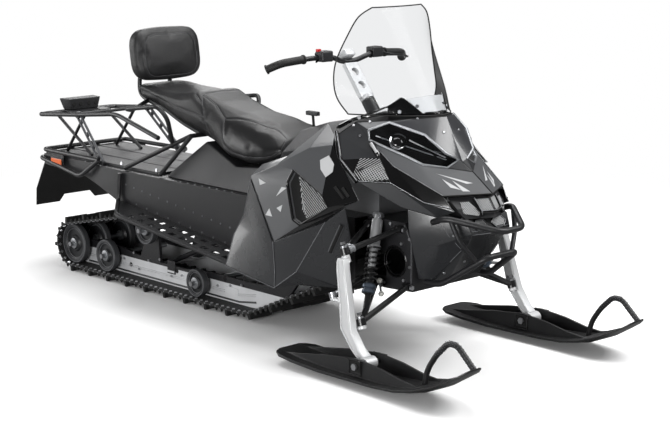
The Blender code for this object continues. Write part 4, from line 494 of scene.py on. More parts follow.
# Lens: glossy orange plastic, the one warm colour on the tail's side.
orange_lens = surface("orange acrylic lens", "#e2641a", 0.18, wear=0.03, cloud=0.05, coat=0.7)
shape = bmesh.new()
for side in (1, -1):
    lens, bezel, back = mirrored([MARKER, BEZEL, GUARD_PLATE], side)
    block(shape, back, GUARD_PLATE_SIZE)
    block(shape, bezel, BEZEL_SIZE)
    block(shape, lens, MARKER_SIZE, 1)
piece("side_markers", shape, [powder, orange_lens], "chassis", (), SMALL_EDGE)


# Cargo deck. A ribbed tray moulded in black plastic and screwed to the top of the tunnel, under the
# rack, to lay luggage on.
DECK_EDGE = 0.001
# Moulded plastic: charcoal, satin, with the fine grain of the mould.
moulded = surface("moulded polypropylene", "#232325", 0.44, grain=0.4, grain_mm=1.6, wear=0.06, cloud=0.10)
whole("deck_tray", ["cargo_deck"], moulded, DECK_EDGE)


# Luggage rack. A loop of black steel tube on painted legs, each of two bars with bridges between
# them, with crossed braces down to the deck, and a plate at its tail for the lamp.
RACK_TUBE = 0.011
RACK_BEND = 0.05
RACK_LOOP = ((-0.560, 0.250, 0.757), (-0.940, 0.215, 0.830), (-1.260, 0.216, 0.797), (-1.619, 0.222, 0.767))
RACK_LEG = ((-1.270, 0.210, 0.795), (-1.030, 0.240, 0.580))
LEG_BAR = 0.0065
LEG_SPREAD = 0.0145
LEG_BRIDGES = (0.02, 0.14, 0.40, 0.64, 0.86, 0.98)
LEG_EYE = ((-0.010, 0.017), (0.010, 0.017))
RACK_BRACES = (((-1.470, 0.150, 0.590), (-1.300, 0.150, 0.790)),
               ((-1.250, 0.150, 0.590), (-1.560, 0.150, 0.772)))
BRACE_TUBE = 0.008
TUBE_ANGLE = math.radians(50)
RACK_CROSSES = ((-1.300, 0.216, 0.7935), (-1.560, 0.221, 0.772))
PLATFORM = (Vector((-1.5175, 0, 0.780)), (0.135, 0.220, 0.006))
# Satin aluminium: light grey, with a fine grain that spreads its highlights.
satin = surface("satin aluminium", "#a3a5a8", 0.38, metallic=0.8, grain=0.2, grain_mm=1.2, wear=0.07,
                cloud=0.06)
# Leg paint: a dark grey, lighter than the tubes, so that the two bars of a leg read apart.
leg_paint = surface("painted rack leg", "#56575a", 0.40, metallic=0.4, grain=0.2, grain_mm=1.6, wear=0.08,
                    cloud=0.15)
shape = bmesh.new()
tube(shape, hoop(RACK_LOOP), RACK_TUBE, RACK_BEND)
for spot in RACK_CROSSES:
    tube(shape, hoop([spot]), BRACE_TUBE)
block(shape, *PLATFORM)
for side in (1, -1):
    for row in RACK_BRACES:
        tube(shape, mirrored(row, side), BRACE_TUBE)
    high, low = mirrored(RACK_LEG, side)
    along = (low - high).normalized()
    across = along.cross(Vector((0, side, 0))).normalized()
    for share in (1, -1):
        offset = across * (share * LEG_SPREAD)
        tube(shape, [high + offset, low + offset], LEG_BAR, slot=1, sides=8)
    for share in LEG_BRIDGES:
        spot = high.lerp(low, share)
        tube(shape, [spot - across * LEG_SPREAD, spot + across * LEG_SPREAD], LEG_BAR * 1.5, slot=1,
             sides=8, flat=0.6)
    for spot in (high, low):
        turned(shape, spot, (0, 1, 0), LEG_EYE, 0, 16)
piece("rack_tubes", shape, [powder, leg_paint], "chassis", ["rack_frame"], 0.0008, TUBE_ANGLE)


# Tail lamp. A flared black housing on the rack's plate with a red lens behind and four round
# openings in its front face.
LAMP_EDGE = 0.004
LENS_EDGE = 0.001
LAMP_LENS = (Vector((-1.5945, 0, 0.812)), (0.004, 0.165, 0.034))
LAMP_HOLE = (0.011, 0.002, 16, 0.9)
LAMP_HOLES = [(Vector((-1.5225, across, 0.812)), (1, 0, 0.1)) for across in (-0.066, -0.026, 0.026, 0.066)]
# Red lens: deep and glossy, nearly black where light does not reach it.
red_lens = surface("red acrylic lens", "#7c1014", 0.16, wear=0.02, cloud=0.06, coat=0.7)
# Painted shade: matt and nearly black, put at the bottom of holes, in slots and behind meshes,
# where light hardly reaches.
painted_shade = surface("painted shade in recesses", "#050505", 0.8)
whole("lamp_housing", ["tail_lamp"], moulded, LAMP_EDGE)
shape = bmesh.new()
block(shape, *LAMP_LENS, 0)
piece("lamp_lens", shape, [red_lens], "chassis", (), LENS_EDGE)
# The four openings are discs of painted shade.
heads("lamp_openings", "chassis", LAMP_HOLES, *LAMP_HOLE, painted_shade)


# Seat frame. Black steel tube: sloping struts from the tunnel, rails under the passenger that run up
# behind the backrest, and a grab handle on each side.
SEAT_TUBE = 0.0105
SEAT_BEND = 0.035
STRUTS = (((-0.830, 0.250, 0.586), (-0.395, 0.190, 0.777)), ((-0.554, 0.250, 0.586), (-0.390, 0.190, 0.777)))
SEAT_RAIL = (
    (-0.395, 0.120, 0.777), (-0.430, 0.120, 0.7872), (-0.540, 0.120, 0.8175), (-0.700, 0.110, 0.8732),
    (-0.860, 0.095, 0.8982), (-0.9145, 0.090, 0.925), (-0.9145, 0.090, 0.995),
    (-0.8871, 0.090, 1.0475), (-0.9011, 0.090, 1.147),
)
GRAB_RAIL = ((-0.510, 0.206, 0.7315), (-0.460, 0.270, 0.860), (-0.490, 0.300, 0.915),
             (-0.740, 0.300, 0.880), (-0.800, 0.220, 0.862), (-0.835, 0.100, 0.8950))
STRUT_BOLT = (0.009, 0.006, 6, 1.0)
BOLT_OFFSET = (-0.006, 0.012, 0.022)
shape = bmesh.new()
spots = []
for side in (1, -1):
    for row in STRUTS:
        low, high = mirrored(row, side)
        tube(shape, [low, high], SEAT_TUBE)
        spots.append((low + mirrored([BOLT_OFFSET], side)[0], (0, side, 0.2)))
    tube(shape, mirrored(SEAT_RAIL, side), SEAT_TUBE, SEAT_BEND)
    tube(shape, mirrored(GRAB_RAIL, side), SEAT_TUBE, SEAT_BEND)
tube(shape, hoop([SEAT_RAIL[0][:1] + STRUTS[0][1][1:]]), SEAT_TUBE)
piece("seat_tubes", shape, [powder], "chassis", ["seat_frame"], 0, TUBE_ANGLE)
heads("strut_bolts", "chassis", spots, *STRUT_BOLT, zinc)


# Seat base. The black moulded box under the rider's seat, which stands on the tunnel and holds the
# tank and the tools.
BASE_EDGE = 0.006
whole("seat_box", ["seat_base"], moulded, BASE_EDGE)


# Backrest bracket. A folded steel plate welded between the two uprights, which the pad is bolted
# to from behind.
whole("backrest_plate", ["backrest_bracket"], powder, SMALL_EDGE)


# Cushions. Long two-step saddle and the passenger's backrest: foam under stretched vinyl, sewn
# panels whose seams pull the skin in, and a raised welt along each seam.
CUSHION_VOXEL = 0.006
FOAM_SHRINK = 0.003
SKIN_STIFFNESS = 60.0
SKIN_BENDING = 12.0
TAUT_ROUNDS = 14
SWELL_CAPS = {"saddle": 0.010, "backrest": 0.020}
PRESSURE = 4.0
PRESS_FRAMES = 20
CHANNEL_WIDTH = 0.013
CHANNEL_DEPTH = 0.0035
WELT = 0.0017
SEAM_STEP = 0.006
# Seams: across the seat behind the rider, along the passenger's part, and round the side insert.
CROSS_SEAM = ((-0.408, 0.0, 0.964), (-0.405, 0.060, 0.962), (-0.400, 0.109, 0.957), (-0.359, 0.148, 0.923),
              (-0.323, 0.170, 0.860), (-0.303, 0.176, 0.812), (-0.290, 0.176, 0.760))
PASSENGER_SEAM = ((-0.860, 0.120, 0.945), (-0.766, 0.145, 0.935), (-0.694, 0.152, 0.915),
                  (-0.599, 0.163, 0.904), (-0.499, 0.168, 0.890), (-0.404, 0.169, 0.880),
                  (-0.328, 0.168, 0.869))
VEE_SEAM = ((-0.545, 0.049, 0.949), (-0.381, 0.142, 0.935))
INSERT = ((-0.199, 0.150, 0.875), (-0.141, 0.129, 0.880), (-0.066, 0.116, 0.879), (0.031, 0.112, 0.866),
          (0.129, 0.104, 0.849), (0.193, 0.120, 0.822), (0.206, 0.167, 0.776), (0.160, 0.185, 0.743),
          (0.052, 0.201, 0.726), (-0.075, 0.195, 0.730), (-0.118, 0.196, 0.740), (-0.164, 0.193, 0.766),
          (-0.178, 0.180, 0.821))
SADDLE_SEAMS = (CROSS_SEAM, PASSENGER_SEAM, VEE_SEAM, INSERT + INSERT[:1],
                ((-0.400, 0.109, 0.957), (-0.300, 0.115, 0.925), INSERT[0]))
REST_SEAM = ((-0.788, 0.0, 1.214), (-0.789, 0.076, 1.214), (-0.787, 0.122, 1.203), (-0.784, 0.146, 1.170),
             (-0.778, 0.152, 1.110), (-0.770, 0.150, 1.055), (-0.768, 0.130, 1.022), (-0.770, 0.090, 1.006),
             (-0.770, 0.0, 1.006))
# Grained vinyl: near black with a broken sheen and a leather-like grain, drawn coarse so that it shows.
vinyl = surface("grained vinyl", "#1b1b1c", 0.42, grain=0.5, grain_mm=3.0, wear=0.08, cloud=0.10)
# Insert vinyl: the smoother, blacker panel let into the sides under the rider's legs.
insert_vinyl = surface("smooth vinyl insert", "#121213", 0.34, grain=0.2, grain_mm=2.0, wear=0.05, cloud=0.10)
# Welt: the same vinyl folded over a cord, painted a little lighter as a highlight where it stands proud.
welt = surface("vinyl welt", "#3d3d3f", 0.45, wear=0.05, cloud=0.05)
wires_tree, given, made = growth("bars along edges",
                                 (("Radius", "Float"), ("Sides", "Int"), ("Paint", "Material")))
line = add(wires_tree, "GeometryNodeMeshToCurve", links={"Mesh": given["Geometry"]})
ring = add(wires_tree, "GeometryNodeCurvePrimitiveCircle", {"mode": "RADIUS"},
           {"Radius": given["Radius"], "Resolution": given["Sides"]})
bars = add(wires_tree, "GeometryNodeCurveToMesh",
           links={"Curve": line.outputs[0], "Profile Curve": ring.outputs[0]})
bars.inputs["Fill Caps"].default_value = True
real = add(wires_tree, "GeometryNodeRealizeInstances", links={"Geometry": bars.outputs[0]})
smooth = add(wires_tree, "GeometryNodeSetShadeSmooth", links={"Geometry": real.outputs[0]})
painted = add(wires_tree, "GeometryNodeSetMaterial",
              links={"Geometry": smooth.outputs[0], "Material": given["Paint"]})
wires_tree.links.new(painted.outputs[0], made["Geometry"])


def wires(name, body, paths, radius, sides, paint):
    """Round bars along the paths, each a list of points."""
    points, edges = [], []
    for path in paths:
        edges += [(len(points) + step, len(points) + step + 1) for step in range(len(path) - 1)]
        points += [Vector(point) for point in path]
    mesh = bpy.data.meshes.new(name)
    mesh.from_pydata(points, edges, [])
    return grown(name, mesh, wires_tree, body, Radius=radius, Sides=sides, Paint=paint)


def stuffed(thing, cap):
    """Lets the foam press the skin out like a balloon, each point by no more than the cap."""
    start = [point.co.copy() for point in thing.data.vertices]
    press = thing.modifiers.new("stuffing", "CLOTH")
    press.settings.use_pressure = True
    press.settings.uniform_pressure_force = PRESSURE
    press.settings.effector_weights.gravity = 0.0
    press.settings.quality = 4
    for name in ("tension_stiffness", "compression_stiffness", "shear_stiffness"):
        setattr(press.settings, name, SKIN_STIFFNESS)
    press.settings.bending_stiffness = SKIN_BENDING
    press.collision_settings.use_collision = False
    for moment in range(1, PRESS_FRAMES + 1):
        scene.frame_set(moment)
    swollen = thing.evaluated_get(bpy.context.evaluated_depsgraph_get()).data
    ends = [point.co.copy() for point in swollen.vertices]
    thing.modifiers.clear()
    scene.frame_set(1)
    for point, first, last in zip(thing.data.vertices, start, ends):
        step = last - first
        point.co = first + step * min(1.0, cap / max(step.length, 1e-9))
    taut = thing.modifiers.new("taut skin", "SMOOTH")
    taut.factor = 0.5
    taut.iterations = TAUT_ROUNDS
    plain(thing)


def seam_on(thing, row):
    """The row of points laid on the cushion's skin at close spacing."""
    skin_tree = faces_of(thing)
    line = []
    for first, second in zip(row, row[1:]):
        first, second = Vector(first), Vector(second)
        count = max(1, round((second - first).length / SEAM_STEP))
        line += [skin_tree.find_nearest(first.lerp(second, step / count))[0] for step in range(count)]
    return line + [skin_tree.find_nearest(Vector(row[-1]))[0]]


def with_normals(thing):
    """Every point of the piece's mesh with the normal that it has before it moves."""
    return [(point, point.normal.copy()) for point in thing.data.vertices]


def cushion(name, node, rows):
    """Soft pad grown from the CAD solid: shrunk, stuffed, and sewn along its seams."""
    shape = bmesh.new()
    take(shape, node)
    mesh = bpy.data.meshes.new(name)
    shape.to_mesh(mesh)
    shape.free()
    thing = bpy.data.objects.new(name, mesh)
    scene.collection.objects.link(thing)
    fine = thing.modifiers.new("even skin", "REMESH")
    fine.mode = "VOXEL"
    fine.voxel_size = CUSHION_VOXEL
    fine.use_smooth_shade = True
    soften = thing.modifiers.new("soft corners", "SMOOTH")
    soften.factor = 0.6
    soften.iterations = 12
    plain(thing)
    thing.data.materials.clear()
    for paint in (vinyl, insert_vinyl):
        thing.data.materials.append(paint)
    for point, outward in with_normals(thing):
        point.co -= outward * FOAM_SHRINK
    stuffed(thing, SWELL_CAPS[name])
    seams = [seam_on(thing, row) for row in each_side(rows)]
    tree = KDTree(sum(len(line) for line in seams))
    for index, spot in enumerate(spot for line in seams for spot in line):
        tree.insert(spot, index)
    tree.balance()
    for point, outward in with_normals(thing):
        away = tree.find(point.co)[2]
        if away < CHANNEL_WIDTH:
            point.co -= outward * CHANNEL_DEPTH * (1 - away / CHANNEL_WIDTH) ** 2
    wires(name + "_welts", "chassis", [seam_on(thing, line) for line in seams], WELT, 6, welt)
    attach(thing, "chassis")
    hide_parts(node)
    return thing


seat = cushion("saddle", "seat_cushion", SADDLE_SEAMS)
outline = [Vector((x, z)) for x, _, z in INSERT]
for face in seat.data.polygons:
    spot = Vector((face.center.x, face.center.z))
    arms = [corner - spot for corner in outline + outline[:1]]
    turns = sum(first.angle_signed(second) for first, second in zip(arms, arms[1:]))
    face.material_index = int(abs(turns) > math.pi and abs(face.center.y) > 0.09)
cushion("backrest", "backrest_pad", (REST_SEAM,))


# Side panels. Large injection-moulded covers, satin graphite, with a gloss black vent that has a
# diagonal mesh behind a thick frame.
PANEL_EDGE = 0.0025
TRIM_ANGLE = math.radians(40)
# Moulded panel: mid grey with a thin clear coat and almost no grain, so long soft highlights run on it.
panel_grey = surface("moulded panel in graphite", "#4a4b4d", 0.30, grain=0.1, grain_mm=1.2, wear=0.04,
                     cloud=0.04, coat=0.3)
# Gloss black: mirrors the room, so only its highlights show its form.
gloss_black = surface("gloss black ABS", "#0a0a0b", 0.14, wear=0.03, cloud=0.05, coat=0.6)
# Printed film: a pale satin grey, for the plain shards on the panels.
film = surface("printed vinyl film", "#b9babb", 0.45, wear=0.05, cloud=0.06)
# Steel mesh: light grey bars over the dark duct, drawn coarse so that they show.
mesh_grey = surface("expanded steel mesh", "#b2b3b4", 0.45, metallic=0.3, wear=0.08, cloud=0.1)
VENT_FLOOR = ((0.582, 0.413, 0.765), (0.553, 0.423, 0.710), (0.601, 0.436, 0.568), (0.643, 0.436, 0.553),
              (0.787, 0.416, 0.640), (0.742, 0.406, 0.684))
VENT_RIM = ((0.582, 0.427, 0.765), (0.553, 0.437, 0.710), (0.601, 0.450, 0.568), (0.643, 0.450, 0.553),
            (0.787, 0.430, 0.640), (0.742, 0.420, 0.684))
VENT_MESH = (
    ((0.605, 0.412, 0.742), (0.640, 0.428, 0.612), (0.668, 0.430, 0.580)),
    ((0.605, 0.412, 0.742), (0.668, 0.430, 0.580), (0.778, 0.416, 0.640), (0.738, 0.407, 0.680)),
)
MESH_PITCH = 0.0085
MESH_BAR = 0.0021
VENT_FRAME = 0.006
VENT_BEAD = 0.0035
VENT_BEND = 0.01
PANEL_SLOTS = (((0.800, 0.404, 0.722), (0.852, 0.404, 0.682)), ((0.838, 0.398, 0.722), (0.872, 0.398, 0.690)))


def facing(ring):
    """Middle of the ring, and the square direction on it that points away from the machine."""
    middle = sum(ring, Vector()) / len(ring)
    normal = Vector()
    for first, second in zip(ring, ring[1:] + ring[:1]):
        normal += (first - middle).cross(second - middle)
    normal.normalize()
    return middle, normal if normal.dot(middle - Vector((0.5, 0, 0.6))) > 0 else -normal


def plate(shape, ring, lift, thickness, slot=0):
    """Adds a flat plate over the ring of points, its outer face lifted off them."""
    _, normal = facing(ring)
    skin(shape, [[point + normal * (lift - thickness) for point in ring],
                 [point + normal * lift for point in ring]], slot)


def hatch(ring, pitch, turn, lift):
    """Parallel lines across the ring, a pitch apart and turned from its first side."""
    middle, normal = facing(ring)
    run = Matrix.Rotation(turn, 3, normal) @ (ring[1] - ring[0]).normalized()
    rise = normal.cross(run)
    flat = [((point - middle).dot(run), (point - middle).dot(rise)) for point in ring]
    low, high = min(up for _, up in flat), max(up for _, up in flat)
    lines = []
    for step in range(int((high - low) / pitch)):
        level = low + pitch * (step + 0.5)
        cuts = sorted(left + (right - left) * (level - down) / (up - down)
                      for (left, down), (right, up) in zip(flat, flat[1:] + flat[:1])
                      if (down - level) * (up - level) < 0)
        lines += [[middle + run * end + rise * level + normal * lift for end in pair]
                  for pair in zip(cuts[::2], cuts[1::2])]
    return lines


def net(ring, pitch, turns, lift):
    """Lines across the ring at each of the turns, as in a mesh."""
    return [line for turn in turns for line in hatch(ring, pitch, turn, lift)]


shape = bmesh.new()
take(shape, "side_panel_left")
take(shape, "side_panel_right")
for face in shape.faces:
    x, _, z = face.calc_center_median()
    face.material_index = int(x - 0.62 > (z - 0.553) * 0.55 and z < 0.80)
covers = piece("side_covers", shape, [panel_grey, gloss_black], "chassis",
               ["side_panel_left", "side_panel_right"], PANEL_EDGE)
PANEL_SHARDS = (
    ((0.365, 0.590), (0.560, 0.672), (0.548, 0.662)), ((0.388, 0.578), (0.452, 0.632), (0.470, 0.618)),
    ((0.425, 0.562), (0.446, 0.592), (0.468, 0.562)), ((0.492, 0.600), (0.528, 0.618), (0.520, 0.588)),
    ((0.362, 0.704), (0.412, 0.692), (0.372, 0.678)), ((0.486, 0.648), (0.552, 0.690), (0.520, 0.690)),
    ((0.402, 0.520), (0.428, 0.546), (0.412, 0.506)),
)
FRONT_SHARD = ((0.700, 0.815), (0.735, 0.836), (0.768, 0.806), (0.770, 0.775), (0.742, 0.752), (0.712, 0.780))
FILM = 0.0009


def stuck_on(onto, outline, side, shape):
    """Adds a film of the outline, given as x and z, laid on the outside of the piece."""
    tree = faces_of(onto)
    ring = [tree.ray_cast(Vector((x, side * 0.7, z)), Vector((0, -side, 0)))[0] for x, z in outline]
    if None not in ring:
        plate(shape, ring, FILM, 2 * FILM)


shape = bmesh.new()
for side in (1, -1):
    for outline in PANEL_SHARDS + (FRONT_SHARD,):
        stuck_on(covers, outline, side, shape)
piece("panel_shards", shape, [film], "chassis")
# Vents: a plate of painted shade behind each mesh, and the slots beside it in painted shade.
shape, bars = bmesh.new(), []
for side in (1, -1):
    plate(shape, mirrored(VENT_FLOOR, side), 0.0012, 0.001, 1)
    rim = mirrored(VENT_RIM, side)
    tube(shape, rim[:4], VENT_FRAME, VENT_BEND, slot=0, sides=10)
    tube(shape, rim[3:] + rim[:1], VENT_BEAD, VENT_BEND, slot=0, sides=10)
    for ring, turn in zip(VENT_MESH, (0.35, -0.55)):
        bars += hatch(mirrored(ring, side), MESH_PITCH, side * turn, 0.004)
    for row in PANEL_SLOTS:
        tube(shape, mirrored(row, side), VENT_FRAME, slot=1, sides=12, flat=0.5)
piece("vent_frames", shape, [gloss_black, painted_shade], "chassis", (), 0, TRIM_ANGLE)
wires("vent_mesh", "chassis", bars, MESH_BAR, 6, mesh_grey)


# Belly pans. Tough black moulded plastic shells that close the engine bay at both sides, screwed to
# the side panels, with a slot at the front and painted highlight lines along the ridges.
BELLY_EDGE = 0.005
SLOT_RIM = 0.011
SLOT_WELL = 0.007
BELLY_SLOT = ((0.766, 0.400, 0.452), (0.826, 0.391, 0.568))
# Belly plastic: black, half glossy, so that each bevel takes a light of its own.
belly_black = surface("moulded thermoplastic shell", "#262729", 0.27, grain=0.15, grain_mm=1.6, wear=0.05,
                      cloud=0.08, coat=0.25)
whole("belly_shells", ["belly_pan_left", "belly_pan_right"], belly_black, BELLY_EDGE)
# Each slot is a well of painted shade inside a grey rim.
shape = bmesh.new()
for side in (1, -1):
    row = mirrored(BELLY_SLOT, side)
    tube(shape, row, SLOT_RIM, slot=0, sides=12, flat=0.35)
    well = [point + Vector((0.002, side * 0.002, 0)) for point in row]
    tube(shape, well, SLOT_WELL, slot=1, sides=12, flat=0.5)
piece("belly_slots", shape, [panel_grey, painted_shade], "chassis", (), 0, TRIM_ANGLE)
# Ridge lines: painted highlights, light lines where two bevels of the shell meet.
RIDGE_HIGHLIGHT = 0.0013
BELLY_RIDGE_HIGHLIGHTS = (
    ((0.494, 0.466, 0.463), (0.505, 0.468, 0.340), (0.502, 0.4685, 0.274)),
    ((0.502, 0.4685, 0.274), (0.620, 0.4525, 0.357), (0.770, 0.4305, 0.580)),
    ((0.166, 0.4505, 0.305), (0.502, 0.4685, 0.272)),
    ((0.166, 0.4505, 0.305), (0.170, 0.4055, 0.438), (0.238, 0.4055, 0.530), (0.302, 0.4205, 0.690)),
)
# Highlight grey: a mid grey, uneven in its shine, that draws painted highlights as thin lines on
# ridges and edges; the track's rod ends take it too.
highlight_and_rod_grey = surface("grey of painted highlights and rod ends", "#6c6d70", 0.35, wear=0.1, cloud=0.2)
wires("belly_ridge_highlights", "chassis", each_side(BELLY_RIDGE_HIGHLIGHTS), RIDGE_HIGHLIGHT, 6, highlight_and_rod_grey)


# Console. The black moulded deck in front of the rider, with the instrument hood; it closes the
# engine bay from above and is screwed to the side panels.
CONSOLE_EDGE = 0.006
whole("dash_cover", ["console"], moulded, CONSOLE_EDGE)


# Hood. Moulded covers screwed to a frame: a dark cowl between the headlamps, a light band under
# them, a gloss black band below it, a vent beside and a dark strip under the cheeks.
HOOD_EDGE = 0.002
HOOD_POINTS = {"a0": (1.018, 0, 0.983), "a1": (0.952, 0.11, 0.977), "a2": (0.89, 0.16, 0.969),
               "a3": (0.755, 0.243, 0.958), "l0": (0.828, 0.245, 0.933), "l1": (0.883, 0.185, 0.963),
               "l2": (1.017, 0.12, 0.92), "l3": (1.09, 0.08, 0.851), "l4": (1.108, 0.024, 0.821),
               "l5": (1.099, 0.08, 0.794), "l6": (1.04, 0.155, 0.808), "l7": (0.976, 0.187, 0.839),
               "l8": (0.838, 0.252, 0.895), "c1": (1.095, 0, 0.831), "c0": (1.107, 0, 0.812),
               "n0": (1.162, 0, 0.777), "n1": (1.266, 0, 0.703), "n2": (1.166, 0.174, 0.702),
               "n3": (0.961, 0.24, 0.802), "g0": (0.91, 0.267, 0.835), "g1": (0.985, 0.28, 0.743),
               "g2": (1.105, 0.215, 0.672), "g3": (1.2, 0.165, 0.655), "s0": (0.714, 0.306, 0.91),
               "s1": (0.778, 0.348, 0.82), "s2": (0.885, 0.36, 0.748), "e1": (1.015, 0.245, 0.646),
               "e2": (1.135, 0.165, 0.612), "e3": (1.214, 0.16, 0.643)}
HOOD_COVERS = (
    ("cowl", "#2d2e31", ("a0 a1 l2 l3", "a0 l3 l4 c1", "a1 a2 l1 l2", "a2 a3 l0 l1", "l4 c0 c1")),
    ("shoulder", "#2b2c2e", ("a3 s0 l8 l0", "s0 s1 g0 l8")),
    ("vent", "#0c0c0d", ("s1 s2 g1 g0",)),
    ("nose", "#232426", ("l4 l5 n0 c0",)),
    ("band", "#515254", ("l8 n3 l7", "l7 n3 n2 l6", "l5 l6 n0", "l6 n2 n1 n0")),
    ("lower band", "#060607", ("l8 g0 n3", "n3 g0 g1", "n3 g1 g2 n2", "n2 g2 g3")),
    ("strip", "#2e2f31", ("s2 e1 g1", "g1 e1 e2 g2", "g2 e2 e3 g3")),
)


def spot_of(key, side=1):
    """Point of the hood by its name, on one side."""
    x, y, z = HOOD_POINTS[key]
    return Vector((x, side * y, z))


# Hood plastics: satin covers in dark greys, and a glossy vent and lower band that mirror the lamps.
keys, patches, slots, paints = list(HOOD_POINTS), [], [], []
for slot, (name, colour, faces) in enumerate(HOOD_COVERS):
    glossy = name in ("vent", "lower band")
    paints.append(surface("hood " + name, colour, 0.16 if glossy else 0.33, grain=0.0 if glossy else 0.12,
                          grain_mm=1.2, wear=0.03, cloud=0.04, coat=0.5 if glossy else 0.3))
    patches += [[keys.index(key) for key in face.split()] for face in faces]
    slots += [slot] * len(faces)
near = BVHTree.FromPolygons([spot_of(key) for key in keys], patches)
shape = bmesh.new()
shape.from_mesh(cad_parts["hood"].data)
bmesh.ops.remove_doubles(shape, verts=shape.verts, dist=WELD)
for face in shape.faces:
    centre = face.calc_center_median()
    centre.y = abs(centre.y)
    face.material_index = slots[near.find_nearest(centre)[2]]
bmesh.ops.dissolve_limit(shape, angle_limit=FLAT_ANGLE, verts=shape.verts, edges=shape.edges,
                         delimit={"MATERIAL"})
hood_shells = piece("hood_covers", shape, paints, "chassis", ["hood"], HOOD_EDGE)
HOOD_SHARDS = (((1.092, 0.135), (1.195, 0.038), (1.185, 0.060)),
               ((1.120, 0.130), (1.190, 0.095), (1.160, 0.125)),
               ((1.145, 0.100), (1.212, 0.070), (1.196, 0.094)))
shape = bmesh.new()
tree = faces_of(hood_shells)
for outline in HOOD_SHARDS:
    for side in (1, -1):
        ring = [tree.ray_cast(Vector((x, side * y, 1.2)), Vector((0, 0, -1)))[0] for x, y in outline]
        plate(shape, ring, FILM, 2 * FILM)
piece("hood_shards", shape, [film], "chassis")

# Joints between the covers: a dark gap, and a painted highlight, a light line along an upper edge
# where it would catch the lamps.
SEAMS = ("l8 n3 n2 n1", "g0 g1 g2 g3", "a3 s0 s1 s2", "a0 a1 a2 a3", "n0 n1", "l4 l5 n0", "s2 g1", "g0 l8")
SEAM_GAP = 0.0022
HOOD_HIGHLIGHT_LINE = 0.0011
HOOD_HIGHLIGHT_EDGES = ("s2 g1 g2 g3", "l8 n3 n2")
# Gap: matt black, so that a joint reads as a shadow.
gap_dark = surface("shadow gap", "#060606", 0.7)
seams, lines = [], []
for side in (1, -1):
    seams += [[spot_of(key, side) for key in row.split()] for row in SEAMS]
    lines += [[spot_of(key, side) + Vector((0.0008, side * 0.0008, 0.0024)) for key in row.split()]
              for row in HOOD_HIGHLIGHT_EDGES]
wires("hood_seams", "chassis", seams, SEAM_GAP, 6, gap_dark)
# Side strap: a gloss black moulding along the hood's rear edge, with a painted highlight, a bright
# line, along both its edges.
STRAP_HALF = 0.009
shape, strap_highlights = bmesh.new(), []
for side in (1, -1):
    path = [spot_of(key, side) + Vector((0, side * 0.006, 0)) for key in ("s0", "s1", "s2")]
    path[0] = path[0].lerp(path[1], -0.12)
    tube(shape, path, STRAP_HALF, 0.02, slot=0, sides=12)
    for away in (-1, 1):
        shift = Vector((away * STRAP_HALF * 0.8, side * STRAP_HALF * 0.62, away * STRAP_HALF * 0.5))
        strap_highlights.append([point + shift for point in path])
piece("side_straps", shape, [gloss_black], "chassis", (), 0, TUBE_ANGLE)
wires("strap_highlights", "chassis", strap_highlights, RIDGE_HIGHLIGHT, 6, satin)
wires("hood_edge_highlights", "chassis", lines, HOOD_HIGHLIGHT_LINE, 6, satin)

# Cheek vents: the same mesh behind the gloss black quarter panels, and a marker lamp capsule above.
CHEEK_BAR = 0.0016
CHEEK_VENT = (("s1", "g0", 0.50), ("g0", "g1", 0.06), ("g1", "g0", 0.10), ("s2", "g1", 0.16),
              ("s2", "s1", 0.30))
CAPSULE = (("l8", "g0", 0.12), ("l8", "g0", 0.95))
CAPSULE_SIZES = [0.005, 0.0115, 0.0115, 0.005]
CAPSULE_LENS = 0.0075
# Behind each cheek mesh lies a plate of painted shade.
shape, bars = bmesh.new(), []
for side in (1, -1):
    ring = [spot_of(first, side).lerp(spot_of(last, side), share) for first, last, share in CHEEK_VENT]
    plate(shape, ring, 0.0015, 0.003, 0)
    bars += net(ring, MESH_PITCH, (side * 0.9, side * -0.6), 0.003)
    ends = [spot_of(first, side).lerp(spot_of(last, side), share) for first, last, share in CAPSULE]
    _, out_of = facing([spot_of(key, side) for key in ("s0", "g0", "l8")])
    tube(shape, [ends[0] + out_of * 0.002, ends[0].lerp(ends[1], 0.15) + out_of * 0.003,
                 ends[0].lerp(ends[1], 0.85) + out_of * 0.003, ends[1] + out_of * 0.002],
         CAPSULE_SIZES, slot=1, sides=16)
    lens = [ends[0].lerp(ends[1], share) + out_of * 0.008 for share in (0.16, 0.84)]
    tube(shape, lens, CAPSULE_LENS, slot=2, sides=12)
piece("cheek_vents", shape, [painted_shade, gloss_black, mesh_grey], "chassis", (), 0, TRIM_ANGLE)
wires("cheek_mesh", "chassis", bars, CHEEK_BAR, 6, mesh_grey)

# Cover screws: bright heads with a flat top, seen as dots along every joint.
COVER_SCREW = (0.0058, 0.003, 12, 0.6)
SCREWS = (((0.957, 0.102, 0.977), (0.29, 0.23, 0.93)), ((1.046, 0.044, 0.926), (0.74, 0.32, 0.60)),
          ((0.797, 0.264, 0.910), (0.38, 0.70, 0.60)), ((0.805, 0.216, 0.962), (0.26, 0.53, 0.81)),
          ((0.760, 0.262, 0.948), (0.30, 0.60, 0.74)), ((1.150, 0.170, 0.640), (0.55, 0.80, 0.20)))
heads("cover_screws", "chassis", each_side(SCREWS), *COVER_SCREW, zinc)


